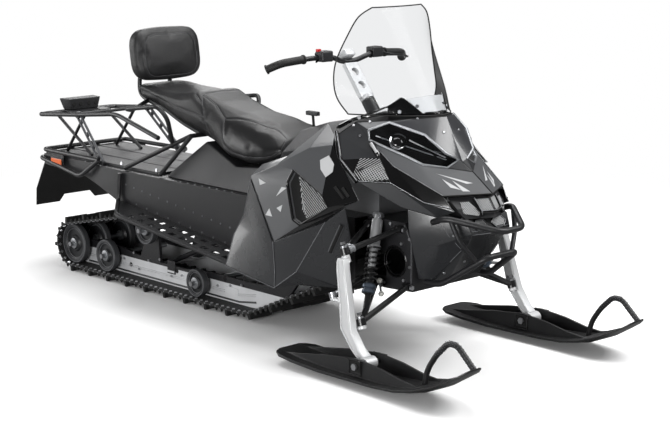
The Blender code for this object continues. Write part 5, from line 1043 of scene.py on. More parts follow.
# Headlamps. A clear moulded cover over a dark chromed lining with one projector and two strips, and
# a thick satin rim round the opening.
RIM = ("l0", "l1", "l2", "l3", "l4", "l5", "l6", "l7", "l8")
RIM_STRIP = 0.005
REFLECTOR_DEPTH = 0.030
COVER_ANGLE = math.radians(60)
COVER_SINK = 0.003
PROJECTOR = (0.935, 0.185, 0.897)
PROJECTOR_RADIUS = 0.036
PROJECTOR_RING = ((0.012, 1.0), (-0.006, 1.0), (-0.008, 0.95), (-0.006, 0.84), (0.006, 0.80), (0.012, 1.0))
PROJECTOR_BALL = ((0.006, 0.78), (-0.002, 0.74), (-0.008, 0.56), (-0.011, 0.32), (-0.012, 0.08))
LAMP_STRIPS = (((0.862, 0.238, 0.918), (1.078, 0.060, 0.826)), ((0.975, 0.165, 0.905), (1.088, 0.075, 0.838)))
LAMP_STRIP = 0.0028
# Chrome: a bright mirror that shows the lamps and the dark room in turn.
chrome = surface("chromed reflector", "#d8d9db", 0.08, metallic=1.0, wear=0.04)
# Smoked chrome: the dark lining of the lamp, which keeps the eye on the projector.
smoked = surface("smoked chrome lining", "#26272a", 0.16, metallic=0.9, wear=0.04, cloud=0.1)


def clear_sheet(name, tint, bend):
    """Thin clear plastic: lets the eye through, and mirrors the room more and more towards its edges."""
    material, tree, out = blank_material(name)
    bare = add(tree, "ShaderNodeBsdfTransparent", Color=linear(tint))
    mirror = add(tree, "ShaderNodeBsdfGlossy", Roughness=0.05)
    edge_on = add(tree, "ShaderNodeFresnel", IOR=bend)
    both = add(tree, "ShaderNodeMixShader",
               links={0: edge_on.outputs[0], 1: bare.outputs[0], 2: mirror.outputs[0]})
    tree.links.new(both.outputs[0], out.inputs["Surface"])
    return material


# Lamp cover: clear moulded polycarbonate, with the room's lamps drawn on it.
clear = clear_sheet("clear polycarbonate cover", "#f4f5f6", 1.5)


def shifted(ring, share, inward, depth):
    """The ring drawn in towards its middle and sunk."""
    middle = sum(ring, Vector()) / len(ring)
    return [middle + (point - middle) * share + inward * depth for point in ring]


shape = bmesh.new()
glass = bmesh.new()
for side in (1, -1):
    ring = [spot_of(key, side) for key in RIM]
    inward = Vector((-0.62, -side * 0.45, -0.64)).normalized()
    skin(shape, [shifted(ring, 0.985, inward, 0.004), shifted(ring, 0.90, inward, 0.012),
                 shifted(ring, 0.70, inward, REFLECTOR_DEPTH)], 1, caps=False)
    plate(shape, shifted(ring, 0.72, inward, REFLECTOR_DEPTH), 0.0, 0.002, 1)
    tube(shape, ring + ring[:1], RIM_STRIP, slot=0, sides=10)
    centre = Vector((PROJECTOR[0], side * PROJECTOR[1], PROJECTOR[2])) + inward * 0.012
    for profile, slot, caps in ((PROJECTOR_RING, 3, False), (PROJECTOR_BALL, 2, True)):
        line = [(along, PROJECTOR_RADIUS * share) for along, share in profile]
        turned(shape, centre, inward, line, slot, caps=caps)
    for row in LAMP_STRIPS:
        tube(shape, [point + inward * 0.010 for point in mirrored(row, side)], LAMP_STRIP, slot=0, sides=8)
    cover = shifted(ring, 0.97, inward, COVER_SINK)
    skin(glass, [cover, shifted(ring, 0.60, inward, -0.004)], caps=True)
piece("lamp_units", shape, [satin, smoked, gloss_black, chrome], "chassis",
      ["headlamp_left", "headlamp_right"], 0, TUBE_ANGLE)
piece("lamp_covers", glass, [clear], "chassis", (), 0, COVER_ANGLE)


# Nose grille and chin. Black moulded parts under the hood, screwed to its frame: the grille lets air
# through a pale mesh to the radiator, and the chin closes the nose below it.
GRILLE_EDGE = 0.003
whole("grille_frame", ["nose_grille"], moulded, GRILLE_EDGE)
GRILLE_PITCH = 0.0055
GRILLE_LINE = 0.0012
GRILLE_HIGHLIGHT_LINE = 0.0013
GRILLE_MESH = (((1.247, 0.006, 0.682), (1.222, 0.055, 0.681), (1.250, 0.052, 0.640), (1.277, 0.006, 0.640)),
               ((1.214, 0.082, 0.673), (1.197, 0.112, 0.672), (1.222, 0.118, 0.632), (1.256, 0.062, 0.620),
                (1.252, 0.060, 0.640)))
GRILLE_BAR = 0.0062
GRILLE_BARS = (
    ((1.218, 0.062, 0.681), (1.254, 0.058, 0.634), (1.260, 0.060, 0.617)),
    ((1.254, 0.058, 0.634), (1.280, 0.004, 0.634)),
)
# Pale mesh: matt light grey nylon that stands out before the dark duct.
pale_mesh = surface("pale nylon mesh", "#b4b5b6", 0.5, wear=0.08, cloud=0.1)
# Each mesh lies over a plate of painted shade, and a painted highlight line runs along the top of each gloss
# black bar.
shape, bars, edges = bmesh.new(), [], []
for side in (1, -1):
    for ring in GRILLE_MESH:
        ring = mirrored(ring, side)
        plate(shape, ring, 0.0025, 0.002, 1)
        bars += net(ring, GRILLE_PITCH, (side * 0.8, side * -0.8), 0.0035)
    for row in GRILLE_BARS:
        out_of = Vector((0.006, 0, 0.003))
        tube(shape, [point + out_of for point in mirrored(row, side)], GRILLE_BAR, slot=0, sides=8)
        edges.append([point + out_of + Vector((0.003, 0, GRILLE_BAR)) for point in mirrored(row, side)])
piece("grille_bars", shape, [gloss_black, painted_shade], "chassis", (), 0, TRIM_ANGLE)
wires("grille_mesh", "chassis", bars, GRILLE_LINE, 5, pale_mesh)
wires("grille_edge_highlights", "chassis", edges, GRILLE_HIGHLIGHT_LINE, 5, satin)
CHIN_EDGE = 0.004
chin = whole("chin_cover", ["chin_fairing"], belly_black, CHIN_EDGE)
# Chin grille: two lower cells of the nose grille, each mesh over a plate of painted shade, with a
# thick black frame round it and a painted highlight line along the frame's front.
CELL_HIGHLIGHT_LINE = 0.0010
CELL_FRAME = 0.0052
CHIN_CELL = ((0.012, 0.583), (0.030, 0.602), (0.074, 0.602), (0.092, 0.583), (0.074, 0.566), (0.030, 0.566))
tree = faces_of(chin)
shape, bars, cell_highlights = bmesh.new(), [], []
for side in (1, -1):
    ring = [tree.ray_cast(Vector((1.5, side * y, z)), Vector((-1, 0, 0)))[0] for y, z in CHIN_CELL]
    plate(shape, ring, 0.0015, 0.003, 1)
    bars += net(ring, GRILLE_PITCH, (side * 0.8, side * -0.8), 0.0028)
    tube(shape, ring + ring[:1], CELL_FRAME, slot=0, sides=8)
    cell_highlights.append([point + Vector((CELL_FRAME, 0, 0.0015)) for point in ring + ring[:1]])
piece("chin_cells", shape, [gloss_black, painted_shade], "chassis", (), 0, TRIM_ANGLE)
wires("chin_mesh", "chassis", bars, GRILLE_LINE, 5, pale_mesh)
wires("chin_cell_highlights", "chassis", cell_highlights, CELL_HIGHLIGHT_LINE, 5, satin)
# Chin lines: painted highlights, thin light lines along the chin's ridges and edges.
CHIN_HIGHLIGHT_LINES = (
    ((1.146, 0.163, 0.588), (1.175, 0.153, 0.547), (1.205, 0.112, 0.490)),
    ((1.259, 0.107, 0.566), (1.262, 0.0, 0.560)), ((1.258, 0.106, 0.552), (1.262, 0.0, 0.546)),
    ((1.159, 0.124, 0.433), (1.204, 0.110, 0.483)),
)
CHIN_SCREW = (0.0062, 0.003, 12, 0.6)
CHIN_SCREWS = (((1.215, 0.116, 0.613), (0.2, 0.3, 0.9)), ((1.194, 0.143, 0.546), (0.42, 0.89, -0.15)),
               ((1.175, 0.058, 0.428), (0.82, 0.0, -0.57)), ((1.125, 0.120, 0.382), (0.71, 0.47, -0.52)))
wires("chin_highlight_lines", "chassis", each_side(CHIN_HIGHLIGHT_LINES), RIDGE_HIGHLIGHT, 6, highlight_and_rod_grey)
heads("chin_screws", "chassis", each_side(CHIN_SCREWS), *CHIN_SCREW, zinc)


# Windshield. A bent sheet of clear acrylic with a rubber trim round its edge, screwed to a gloss
# black mount with two arms, and a pale panel on the mount's front.
SCREEN_ROWS = (
    (0.9858, 0.995, 0.245, 0.710), (1.050, 0.950, 0.285, 0.690), (1.120, 0.910, 0.290, 0.675),
    (1.200, 0.865, 0.275, 0.675), (1.300, 0.810, 0.235, 0.700), (1.370, 0.775, 0.195, 0.720),
    (1.405, 0.760, 0.140, 0.740),
)
MOUNT_EDGE = 0.009
SCREEN_COLUMNS = 32
SCREEN_STEPS = 5
SCREEN_TRIM = 0.0028


def screen_row(share):
    """Row of the sheet at a share of its height, on a smooth curve through the named rows."""
    place = share * (len(SCREEN_ROWS) - 1)
    index = min(int(place), len(SCREEN_ROWS) - 2)
    part = place - index
    around = [SCREEN_ROWS[min(max(0, index + step), len(SCREEN_ROWS) - 1)] for step in (-1, 0, 1, 2)]
    return [0.5 * (2 * b + (c - a) * part + (2 * a - 5 * b + 4 * c - d) * part ** 2
                   + (3 * b - a - 3 * c + d) * part ** 3) for a, b, c, d in zip(*around)]


def screen_spot(row, column):
    """Point of the sheet on a row, from -1 at the right edge to 1 at the left."""
    up, middle, half, side = row
    return Vector((middle + (side - middle) * column * column, half * column, up))


count = SCREEN_STEPS * (len(SCREEN_ROWS) - 1)
rows = [screen_row(step / count) for step in range(count + 1)]
grid = [[screen_spot(row, 2 * step / SCREEN_COLUMNS - 1) for step in range(SCREEN_COLUMNS + 1)]
        for row in rows]
glass = bmesh.new()
made = [[glass.verts.new(point) for point in line] for line in grid]
for low, high in zip(made, made[1:]):
    for step in range(SCREEN_COLUMNS):
        glass.faces.new((low[step], low[step + 1], high[step + 1], high[step]))
# Windshield sheet: a faint grey tint and only a weak mirror, so the steering shows through it.
screen_clear = clear_sheet("clear windshield sheet", "#eeeff0", 1.12)
piece("screen_sheet", glass, [screen_clear], "chassis", ["windshield"])
border = ([line[0] for line in grid] + grid[-1][1:] + [line[-1] for line in reversed(grid)][1:]
          + list(reversed(grid[0]))[1:])
shape = bmesh.new()
tube(shape, border, SCREEN_TRIM, slot=0, sides=8)
piece("screen_trim", shape, [rubber], "chassis", (), 0, TUBE_ANGLE)
whole("screen_mount", ["windshield_fairing"], gloss_black, MOUNT_EDGE)
DASH_PLATE = ((0.972, 0.0, 0.992), (0.958, 0.066, 0.992), (0.896, 0.104, 1.050), (0.930, 0.0, 1.058))
MOUNT_SCREW = (0.0085, 0.005, 16, 0.8)
MOUNT_SCREWS = (((0.890, 0.134, 1.000), (0.57, 0.79, 0.21)), ((0.760, 0.232, 0.975), (0.70, 0.70, 0.1)),
                ((0.928, 0.075, 1.020), (0.80, 0.40, 0.3)))
# Dash panel: a satin plastic near white, the brightest spot under the windshield.
pale_panel = surface("pale moulded dash panel", "#d6d7d8", 0.4, grain=0.1, wear=0.05, cloud=0.05)
shape = bmesh.new()
for side in (1, -1):
    plate(shape, mirrored(DASH_PLATE, side), 0.0, 0.003)
piece("dash_panel", shape, [pale_panel], "chassis", (), 0.0008)
heads("mount_screws", "chassis", each_side(MOUNT_SCREWS), *MOUNT_SCREW, zinc)


# Starter handle. A black moulded T on a stem that runs into the console, pulled by hand to turn the
# engine over.
STARTER_EDGE = 0.004
whole("starter_grip", ["starter_handle"], moulded, STARTER_EDGE)


# Front bumper. Two bent steel hoops round the nose, powder-coated black and joined by a welded post
# on each side.
BUMPER_TUBE = 0.0125
POST_TUBE = 0.010
BUMPER_BEND = 0.035
BUMPER_UPPER = ((1.125, 0.188, 0.596), (1.196, 0.196, 0.622), (1.37, 0.062, 0.575))
BUMPER_LOWER = ((1.05, 0.15, 0.3378), (1.125, 0.142, 0.3378), (1.318, 0.088, 0.469))
BUMPER_POST = (1.243, 0.163, 0.531)
POST_ENDS = (0.10, 0.80)
shape = bmesh.new()
tube(shape, hoop(BUMPER_UPPER), BUMPER_TUBE, BUMPER_BEND)
tube(shape, hoop(BUMPER_LOWER), BUMPER_TUBE, BUMPER_BEND)
upper, lower = [Vector(point) for point in BUMPER_UPPER], [Vector(point) for point in BUMPER_LOWER]
post = [upper[1].lerp(upper[2], POST_ENDS[0]), Vector(BUMPER_POST), lower[1].lerp(lower[2], POST_ENDS[1])]
for side in (1, -1):
    tube(shape, mirrored(post, side), POST_TUBE, BUMPER_BEND)
piece("bumper_tubes", shape, [powder], "chassis", ["front_bumper"], 0, TUBE_ANGLE)


# Engine. One plain block in the tunnel's front under the console, a rough casting that stays out of
# sight behind the covers.
# Sand casting: mid grey, matt and coarse.
cast_rough = surface("sand-cast aluminium", "#6f7072", 0.6, metallic=0.5, grain=0.6, grain_mm=2.5, wear=0.1,
                     cloud=0.15)
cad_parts["engine_block"].data.materials.clear()
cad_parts["engine_block"].data.materials.append(cast_rough)


# Bulkhead. The pressed steel box in front of the engine bay that carries both suspension arms,
# with a round port in each side plate.
whole("bulkhead_box", ["front_bulkhead"], powder, SMALL_EDGE)
PORT = (0.930, 0.1975, 0.410)
PORT_RINGS = ((0.0625, 0.0035), (0.0545, 0.0030))
RING_STEP = 0.004
PLATE_SCREW = (0.0065, 0.005, 6, 1.0)
PLATE_SCREWS = ((1.014, 0.513), (0.968, 0.488), (0.906, 0.562), (0.980, 0.341), (0.871, 0.316),
                (1.014, 0.400))
# Plate edge: a painted highlight, a light line along the front and top edge of each side plate.
PLATE_RIM = 0.0012
PLATE_HIGHLIGHT_LINE = ((1.022, 0.2015, 0.315), (1.022, 0.2015, 0.500), (0.982, 0.2015, 0.566))
shape, spots = bmesh.new(), []
for side in (1, -1):
    centre = mirrored([PORT], side)[0]
    for index, (radius, bar) in enumerate(PORT_RINGS):
        sunk = centre - Vector((0, side * RING_STEP * index, 0))
        turned(shape, sunk, (0, side, 0), round_bar(radius, bar, 8), 0, 40, caps=False)
    spots += [(Vector((x, side * 0.2, z)), (0, side, 0)) for x, z in PLATE_SCREWS]
piece("port_rings", shape, [gloss_black], "chassis", (), 0, TUBE_ANGLE)
heads("plate_screws", "chassis", spots, *PLATE_SCREW, zinc)
wires("plate_edge_highlights", "chassis", each_side([PLATE_HIGHLIGHT_LINE]), PLATE_RIM, 6, highlight_and_rod_grey)


# Front suspension. Two tubular steel A-arms a side with bolted sleeves, ball joints with bright caps,
# and a gas shock with a coil spring, anodised preload nuts and a polished canister.
ARM_NUT = (0.010, 0.010, 6, 1.0)
ARM_TUBE = 0.012
BALL_RADIUS = 0.019
BALL_HALF = 0.014
UPPER_BALL = (0.896, 0.442, 0.483)
LOWER_BALL = (0.988, 0.442, 0.217)
UPPER_ROOTS = ((0.965, 0.2134, 0.548), (0.795, 0.2134, 0.548))
LOWER_ROOTS = ((1.010, 0.2134, 0.322), (0.840, 0.2134, 0.322))
SLEEVE_RADIUS = 0.014
SLEEVE_HALF = 0.018
SHOCK_SEAT = 0.30
SHOCK_LIFT = 0.0309
SHOCK_TOP = (0.850, 0.215, 0.590)
SPRING_RADIUS = 0.0255
SPRING_WIRE = 0.0042
SPRING_TURNS = 7
SPRING_SPAN = (0.21, 0.62)
SHOCK_BODY = (((0.00, 0.012), (0.07, 0.012), (0.08, 0.016), (0.46, 0.014)),
              ((0.09, 0.018), (0.095, 0.027), (0.125, 0.027), (0.13, 0.021), (0.145, 0.021), (0.15, 0.028),
               (0.185, 0.028), (0.20, 0.022)), ((0.38, 0.010), (0.39, 0.0165), (0.62, 0.0165)),
              ((0.60, 0.0165), (0.61, 0.0275), (0.64, 0.0275), (0.645, 0.0225), (0.94, 0.0225),
               (0.955, 0.014), (1.00, 0.013)))
SHOCK_PAINTS = (0, 3, 2, 2)
SHOCK_STUB = 0.013
SHOCK_EYE = ((-0.02, 0.012), (0.02, 0.012))
ROD_END_SHARES = (0.0, 0.07, 0.075, 0.105, 0.11, 0.145, 0.15, 0.17)
ROD_END_SIZES = (0.011, 0.011, 0.016, 0.016, 0.0135, 0.0135, 0.016, 0.016)
CAP_LENGTH = 0.008
SWAY_ROD = 0.0045
SWAY_TUBE = 0.006
ARM_ANGLE = math.radians(35)
# Arm steel: satin black, a little glossier than the guard where the coat is thick.
arm_paint = surface("stove enamel on steel", "#161617", 0.30, grain=0.2, grain_mm=2.0, wear=0.06, cloud=0.1,
                    coat=0.2)
# Polished canister: machined aluminium with a soft mirror.
polished = surface("polished aluminium", "#cbccce", 0.30, metallic=0.7, wear=0.06, cloud=0.04)
# Boots: white nylon balls on the sway bar's links.
white_nylon = surface("white nylon boot", "#d9d8d2", 0.45, wear=0.05, cloud=0.05)
# Anodised rings: a cool blue-grey on the preload nuts.
anodised = surface("anodised aluminium", "#59626e", 0.30, metallic=0.6, wear=0.05, cloud=0.05)


def coil(start, end, radius, turns, steps=20):
    """Points of a helix round the line from start to end."""
    along = end - start
    side = along.orthogonal().normalized()
    other = along.normalized().cross(side)
    return [start + along * (step / (turns * steps)) + (side * math.cos(math.tau * step / steps)
            + other * math.sin(math.tau * step / steps)) * radius for step in range(turns * steps + 1)]


# Sway bar: a short link between two balls in white boots joins the bar's end to the arm.
SWAY_LINK = ((0.895, 0.252, 0.334), (0.915, 0.262, 0.286))
SWAY_BAR = ((0.86, 0.205, 0.300), (0.895, 0.236, 0.334))
BALL_END = 0.0115
ball_turns = [math.pi * (step / 8 - 0.5) for step in range(9)]
ball_line = [(BALL_END * math.sin(turn), max(0.0005, BALL_END * math.cos(turn))) for turn in ball_turns]
kingpin = (Vector(UPPER_BALL) - Vector(LOWER_BALL)).normalized()
shape, springs, nuts = bmesh.new(), [], []
for side in (1, -1):
    turn = Vector((kingpin.x, side * kingpin.y, kingpin.z))
    for ball, roots in ((UPPER_BALL, UPPER_ROOTS), (LOWER_BALL, LOWER_ROOTS)):
        ball = mirrored([ball], side)[0]
        tube(shape, [ball - turn * BALL_HALF, ball + turn * BALL_HALF], BALL_RADIUS, slot=0)
        cap = [ball + turn * BALL_HALF, ball + turn * (BALL_HALF + CAP_LENGTH)]
        tube(shape, cap, BALL_RADIUS * 0.7, slot=1)
        nuts.append((ball + turn * (BALL_HALF + 0.014), turn))
        for root in mirrored(roots, side):
            tube(shape, [ball, root], ARM_TUBE)
            if ball.z > 0.4:
                tube(shape, [ball.lerp(root, share) for share in ROD_END_SHARES], ROD_END_SIZES, slot=1)
            tube(shape, [root - Vector((SLEEVE_HALF, 0, 0)), root + Vector((SLEEVE_HALF, 0, 0))],
                 SLEEVE_RADIUS)
            nuts.append((root + Vector((SLEEVE_HALF + 0.004, 0, 0)), (1, 0, 0)))
    ball, root = mirrored([LOWER_BALL, LOWER_ROOTS[1]], side)
    seat_spot, top = ball.lerp(root, SHOCK_SEAT), mirrored([SHOCK_TOP], side)[0]
    foot = seat_spot + (top - seat_spot).normalized() * SHOCK_LIFT
    tube(shape, [seat_spot, foot], SHOCK_STUB)
    stroke = (top - foot).length
    for part, profile in enumerate(SHOCK_BODY):
        line = [(share * stroke, radius) for share, radius in profile]
        turned(shape, foot, top - foot, line, SHOCK_PAINTS[part], 24)
    start, end = (foot.lerp(top, share) for share in SPRING_SPAN)
    springs.append(coil(start, end, SPRING_RADIUS, SPRING_TURNS))
    nuts.append((top + Vector((0.016, 0, 0)), (1, 0, 0)))
    turned(shape, top, (1, 0, 0), SHOCK_EYE, 1, 16)
    link = mirrored(SWAY_LINK, side)
    tube(shape, link, SWAY_ROD, slot=1)
    tube(shape, mirrored(SWAY_BAR, side) + link[:1], SWAY_TUBE, 0.01, slot=0)
    for spot in link:
        turned(shape, spot, (0, 1, 0), ball_line, 4, 16)
piece("arms_and_shocks", shape, [arm_paint, satin, polished, anodised, white_nylon], "chassis",
      ["upper_arm_left", "upper_arm_right", "lower_arm_left", "lower_arm_right", "shock_left",
       "shock_right"], 0, ARM_ANGLE)
wires("shock_springs", "chassis", springs, SPRING_WIRE, 10, arm_paint)
heads("arm_nuts", "chassis", nuts, *ARM_NUT, zinc)


# Spindles. Forged aluminium legs, bead-blasted to a pale satin, each bored for the ski's pin, with
# the tie rod's end on a short steering arm.
LEG_EDGE = 0.004
TIE_END = (0.846, 0.462, 0.305)
TIE_INNER = (0.838, 0.140, 0.385)
TIE_HALF = 0.010
TIE_EYE = 0.015
TIE_RADIUS = 0.0075
TIE_NECK = 0.14
# Forging: pale, matt, with a fine blasted grain.
forged = surface("blasted forged aluminium", "#d6d7d8", 0.42, metallic=0.35, grain=0.3, grain_mm=1.6,
                 wear=0.06, cloud=0.05)
LEG_RIB = 0.0036
LEG_LINE = ((0.902, 0.456, 0.455, 0.034, 0.034), (0.912, 0.466, 0.42, 0.046, 0.030),
            (0.945, 0.48, 0.29, 0.056, 0.030), (0.966, 0.49, 0.195, 0.062, 0.034),
            (1.02, 0.49, 0.125, 0.05, 0.036), (1.060, 0.486, 0.090, 0.05, 0.040))
for name, side in (("left", 1), ("right", -1)):
    shape = bmesh.new()
    take(shape, "spindle_" + name)
    for across in (-0.36, 0.36):
        for face in (-1, 1):
            line = [(x + across * depth, side * (y + face * thick * 0.5), z)
                    for x, y, z, depth, thick in LEG_LINE]
            tube(shape, line, LEG_RIB, sides=8)
    piece("leg_" + name, shape, [forged], "spindle_" + name, ["spindle_" + name], LEG_EDGE)
    turn = Vector((kingpin.x, side * kingpin.y, kingpin.z))
    end, inner = mirrored([TIE_END, TIE_INNER], side)
    shape = bmesh.new()
    tube(shape, [end - turn * TIE_HALF, end + turn * TIE_HALF], TIE_EYE, slot=0)
    tube(shape, [end, end.lerp(inner, TIE_NECK)], TIE_RADIUS, slot=0)
    tube(shape, [end.lerp(inner, share) for share in (TIE_NECK, 0.15, 0.93, 0.94)],
         [TIE_RADIUS, TIE_RADIUS * 1.3, TIE_RADIUS * 1.3, TIE_RADIUS], slot=1)
    tube(shape, [end.lerp(inner, 0.94), inner], TIE_RADIUS, slot=0)
    piece("track_rod_" + name, shape, [zinc, arm_paint], "tie_rod_" + name, ["tie_rod_" + name], 0,
          TRIM_ANGLE)


# Skis. Moulded polyethylene, black and slightly waxy, with a saddle for the leg, a steel runner bar
# under the keel and a loop at the tip to pull by, its upper half knurled for grip.
SKI_EDGE = 0.002
SKI_MIDDLE = 0.485
LOOP = ((1.370, 0.052), (1.385, 0.120), (1.430, 0.185), (1.490, 0.242), (1.535, 0.242), (1.617, 0.168))
LOOP_TUBE = 0.011
GRIP_DOT = (0.0026, 0.0018, 6, 0.7)
LOOP_BEND = 0.03
SKI_PIN = (1.071, 0.485, 0.078)
PIN_NUT = (0.014, 0.010, 6, 1.0)
SADDLE_FACE = 0.0645
RECESS = (0.062, 0.0012, 0.050)
FRAME_BARS = ((1, 0, 0.004, 0.058), (-1, 0, 0.004, 0.058), (0, 1, 0.070, 0.004), (0, -1, 0.070, 0.004))
# Ski plastic: black with a soft sheen and scuffs from snow and gravel.
ski_plastic = surface("moulded polyethylene", "#1a1a1b", 0.38, grain=0.3, grain_mm=2.0, wear=0.10, cloud=0.15)
# The recess in each face of the ski's saddle is a thin block of painted shade inside its frame.
for name, side in (("left", 1), ("right", -1)):
    shape = bmesh.new()
    take(shape, "ski_" + name)
    pin = Vector((SKI_PIN[0], side * SKI_PIN[1], SKI_PIN[2]))
    for turn in (1, -1):
        face = pin + Vector((-0.004, turn * (SADDLE_FACE + 0.0016), -0.004))
        block(shape, face, RECESS, 1)
        for forward, up, wide, tall in FRAME_BARS:
            block(shape, face + Vector((forward * 0.033, turn * 0.002, up * 0.027)), (wide, 0.006, tall), 0)
    piece("ski_blade_" + name, shape, [ski_plastic, painted_shade], "ski_" + name, ["ski_" + name], SKI_EDGE)
    shape = bmesh.new()
    line = [Vector((x, side * SKI_MIDDLE, z)) for x, z in LOOP]
    tube(shape, line, LOOP_TUBE, LOOP_BEND)
    piece("pull_loop_" + name, shape, [ski_plastic], "ski_" + name, ["ski_loop_" + name], 0, TUBE_ANGLE)
    dots = []
    for first, second, count in ((line[2], line[3], 7), (line[3], line[4], 5), (line[4], line[5], 7)):
        along = (second - first).normalized()
        for step in range(count):
            spot = first.lerp(second, (step + 0.5) / count)
            for turn in range(8):
                share = (turn + step % 2 / 2) / 8
                out_of = Matrix.Rotation(math.tau * share, 3, along) @ along.orthogonal().normalized()
                dots.append((spot + out_of * (LOOP_TUBE - 0.0006), out_of))
    heads("loop_grip_" + name, "ski_" + name, dots, *GRIP_DOT, leg_paint)
    whole("runner_bar_" + name, ["runner_" + name], zinc, 0, "ski_" + name, TUBE_ANGLE)
    spots = [(pin + Vector((0, turn * (SADDLE_FACE + 0.006), 0)), (0, turn, 0)) for turn in (1, -1)]
    heads("ski_pin_nuts_" + name, "ski_" + name, spots, *PIN_NUT, zinc)


# Steering. A bright forged riser with two oval windows, a black steel bar with rubber grips, a
# padded clamp, the throttle and brake housings, the brake's lever, and a red stop switch.
BAR_TUBE = 0.011
BAR_BEND = 0.04
BAR_LEFT = ((0.474, 0.110, 1.190), (0.432, 0.200, 1.186), (0.425, 0.350, 1.176), (0.385, 0.385, 1.155))
RISER_FOOT = Vector((0.570, 0, 1.009))
RISER_TOP = Vector((0.450, 0, 1.167))
RISER_EDGE = 0.003
HOUSING_EDGE = 0.007
RISER_HALF = 0.0365
GRIP = 0.0165
GRIP_START = 0.22
GRIP_END = (0.382, 0.389, 1.151)
LEVER = ((0.462, 0.175, 1.190), (0.492, 0.215, 1.180), (0.482, 0.300, 1.170), (0.472, 0.335, 1.160))
LEVER_BAR = 0.0055
GRIP_COLLAR = ((0, 0.9), (0.001, 1.2), (0.007, 1.2), (0.008, 0.9))
SWITCH = (Vector((0.452, -0.168, 1.219)), (0.016, 0.016, 0.010))
# Grip rubber: black and matt, with a coarse grain.
grip_rubber = surface("grip rubber", "#141414", 0.60, grain=0.6, grain_mm=3.0, wear=0.08, cloud=0.2)
# Stop switch: a clear satin red, the one bright colour on the bar.
red_plastic = surface("red moulded switch", "#c01818", 0.35, wear=0.04, cloud=0.05)
whole("riser_forging", ["steering_riser"], forged, RISER_EDGE, "handlebar")
axis = (RISER_TOP - RISER_FOOT).normalized()
seat_spot = RISER_TOP - axis * (0.018 - BAR_TUBE - 0.0003)
shape = bmesh.new()
middle_part = [seat_spot + Vector((0, RISER_HALF, 0)), *(Vector(point) for point in BAR_LEFT)]
tube(shape, mirrored(reversed(middle_part)) + middle_part, BAR_TUBE, BAR_BEND)
for side in (1, -1):
    inner, outer, tip = mirrored([*BAR_LEFT[1:3], GRIP_END], side)
    start = inner.lerp(outer, GRIP_START)
    tube(shape, [start, outer, tip], GRIP, BAR_BEND, slot=1, sides=20)
    for spot, way in ((start, outer - start), (tip, tip - outer)):
        collar = [(along, GRIP * share) for along, share in GRIP_COLLAR]
        turned(shape, spot - way.normalized() * 0.004, way, collar, 1, 20)
tube(shape, LEVER, LEVER_BAR, 0.02, slot=0, sides=10, flat=0.7)
block(shape, *SWITCH, slot=3)
piece("bar_and_grips", shape, [powder, grip_rubber, satin, red_plastic], "handlebar", ["handlebar"], 0,
      TUBE_ANGLE)
shape = bmesh.new()
take(shape, "bar_pad", 1)
take(shape, "throttle_block")
take(shape, "brake_block")
piece("bar_housings", shape, [moulded, forged], "handlebar", ["bar_pad", "throttle_block", "brake_block"],
      HOUSING_EDGE)


# Skid. Two extruded aluminium rails with plastic sliders, joined by arms and shafts inside the
# track. The rails' lower part is bare and the frame above it is powder-coated black; on the rails
# this black is also painted shade for the dark cut-outs between the wheels.
# Rail alloy: dull silver, clouded and uneven in its shine where ice has scratched it.
rail_alloy = surface("extruded aluminium rail", "#d2d3d5", 0.42, metallic=0.3, grain=0.2, grain_mm=1.5,
                     wear=0.12, cloud=0.18)
RAIL_EDGE = 0.001
RAIL_FACE = 0.1633
RAIL_SCREW = (0.0065, 0.006, 6, 1.0)
RAIL_SCREWS = ((-1.20, 0.115), (-1.14, 0.150), (-0.98, 0.110), (-0.90, 0.150), (-0.86, 0.075),
               (-0.78, 0.130), (-0.69, 0.150), (-0.60, 0.085), (-0.52, 0.100), (-0.44, 0.080),
               (-0.25, 0.100), (-0.16, 0.115), (-0.08, 0.130))
RAIL_HOLE = (0.012, 0.0012, 16, 0.9)
RAIL_HOLES = ((-0.93, 0.085), (-0.56, 0.115), (-0.20, 0.140), (-0.06, 0.165))
RAIL_SHADE_SPLIT = 0.122
RAIL_RIB = ((-1.290, 0.086), (-0.100, 0.086), (0.020, 0.104))
RIB_BARS = ((0, 0.0022, 0), (0.008, 0.0022, 0), (0.037, 0.0045, 1))
RAIL_PLATES = (((-0.600, 0.002, 0.126), (0.060, 0.004, 0.062), 1),
               ((-0.600, 0.005, 0.106), (0.052, 0.003, 0.010), 0),
               ((-0.150, 0.002, 0.092), (0.090, 0.004, 0.030), 0))


def on_rail(spots):
    """Places on the outer faces of both rails, each with the way it faces."""
    return [(Vector((x, side * RAIL_FACE, z)), (0, side, 0)) for x, z in spots for side in (1, -1)]


shape = bmesh.new()
take(shape, "skid_frame")
bmesh.ops.bisect_plane(shape, geom=shape.verts[:] + shape.edges[:] + shape.faces[:],
                       plane_co=(0, 0, RAIL_SHADE_SPLIT), plane_no=(0, 0, 1), dist=WELD)
for face in shape.faces:
    face.material_index = int(face.calc_center_median().z > RAIL_SHADE_SPLIT)
for side in (1, -1):
    for drop, bar, slot in RIB_BARS:
        tube(shape, [(x, side * RAIL_FACE, z - drop) for x, z in RAIL_RIB], bar, slot=slot, sides=8)
    for (x, out, z), size, slot in RAIL_PLATES:
        block(shape, Vector((x, side * (RAIL_FACE + out), z)), size, slot)
piece("skid_rails", shape, [rail_alloy, powder], "chassis", ["skid_frame"], RAIL_EDGE)
heads("rail_screws", "chassis", on_rail(RAIL_SCREWS), *RAIL_SCREW, zinc)
# The holes are discs of painted shade.
heads("rail_holes", "chassis", on_rail(RAIL_HOLES), *RAIL_HOLE, painted_shade)


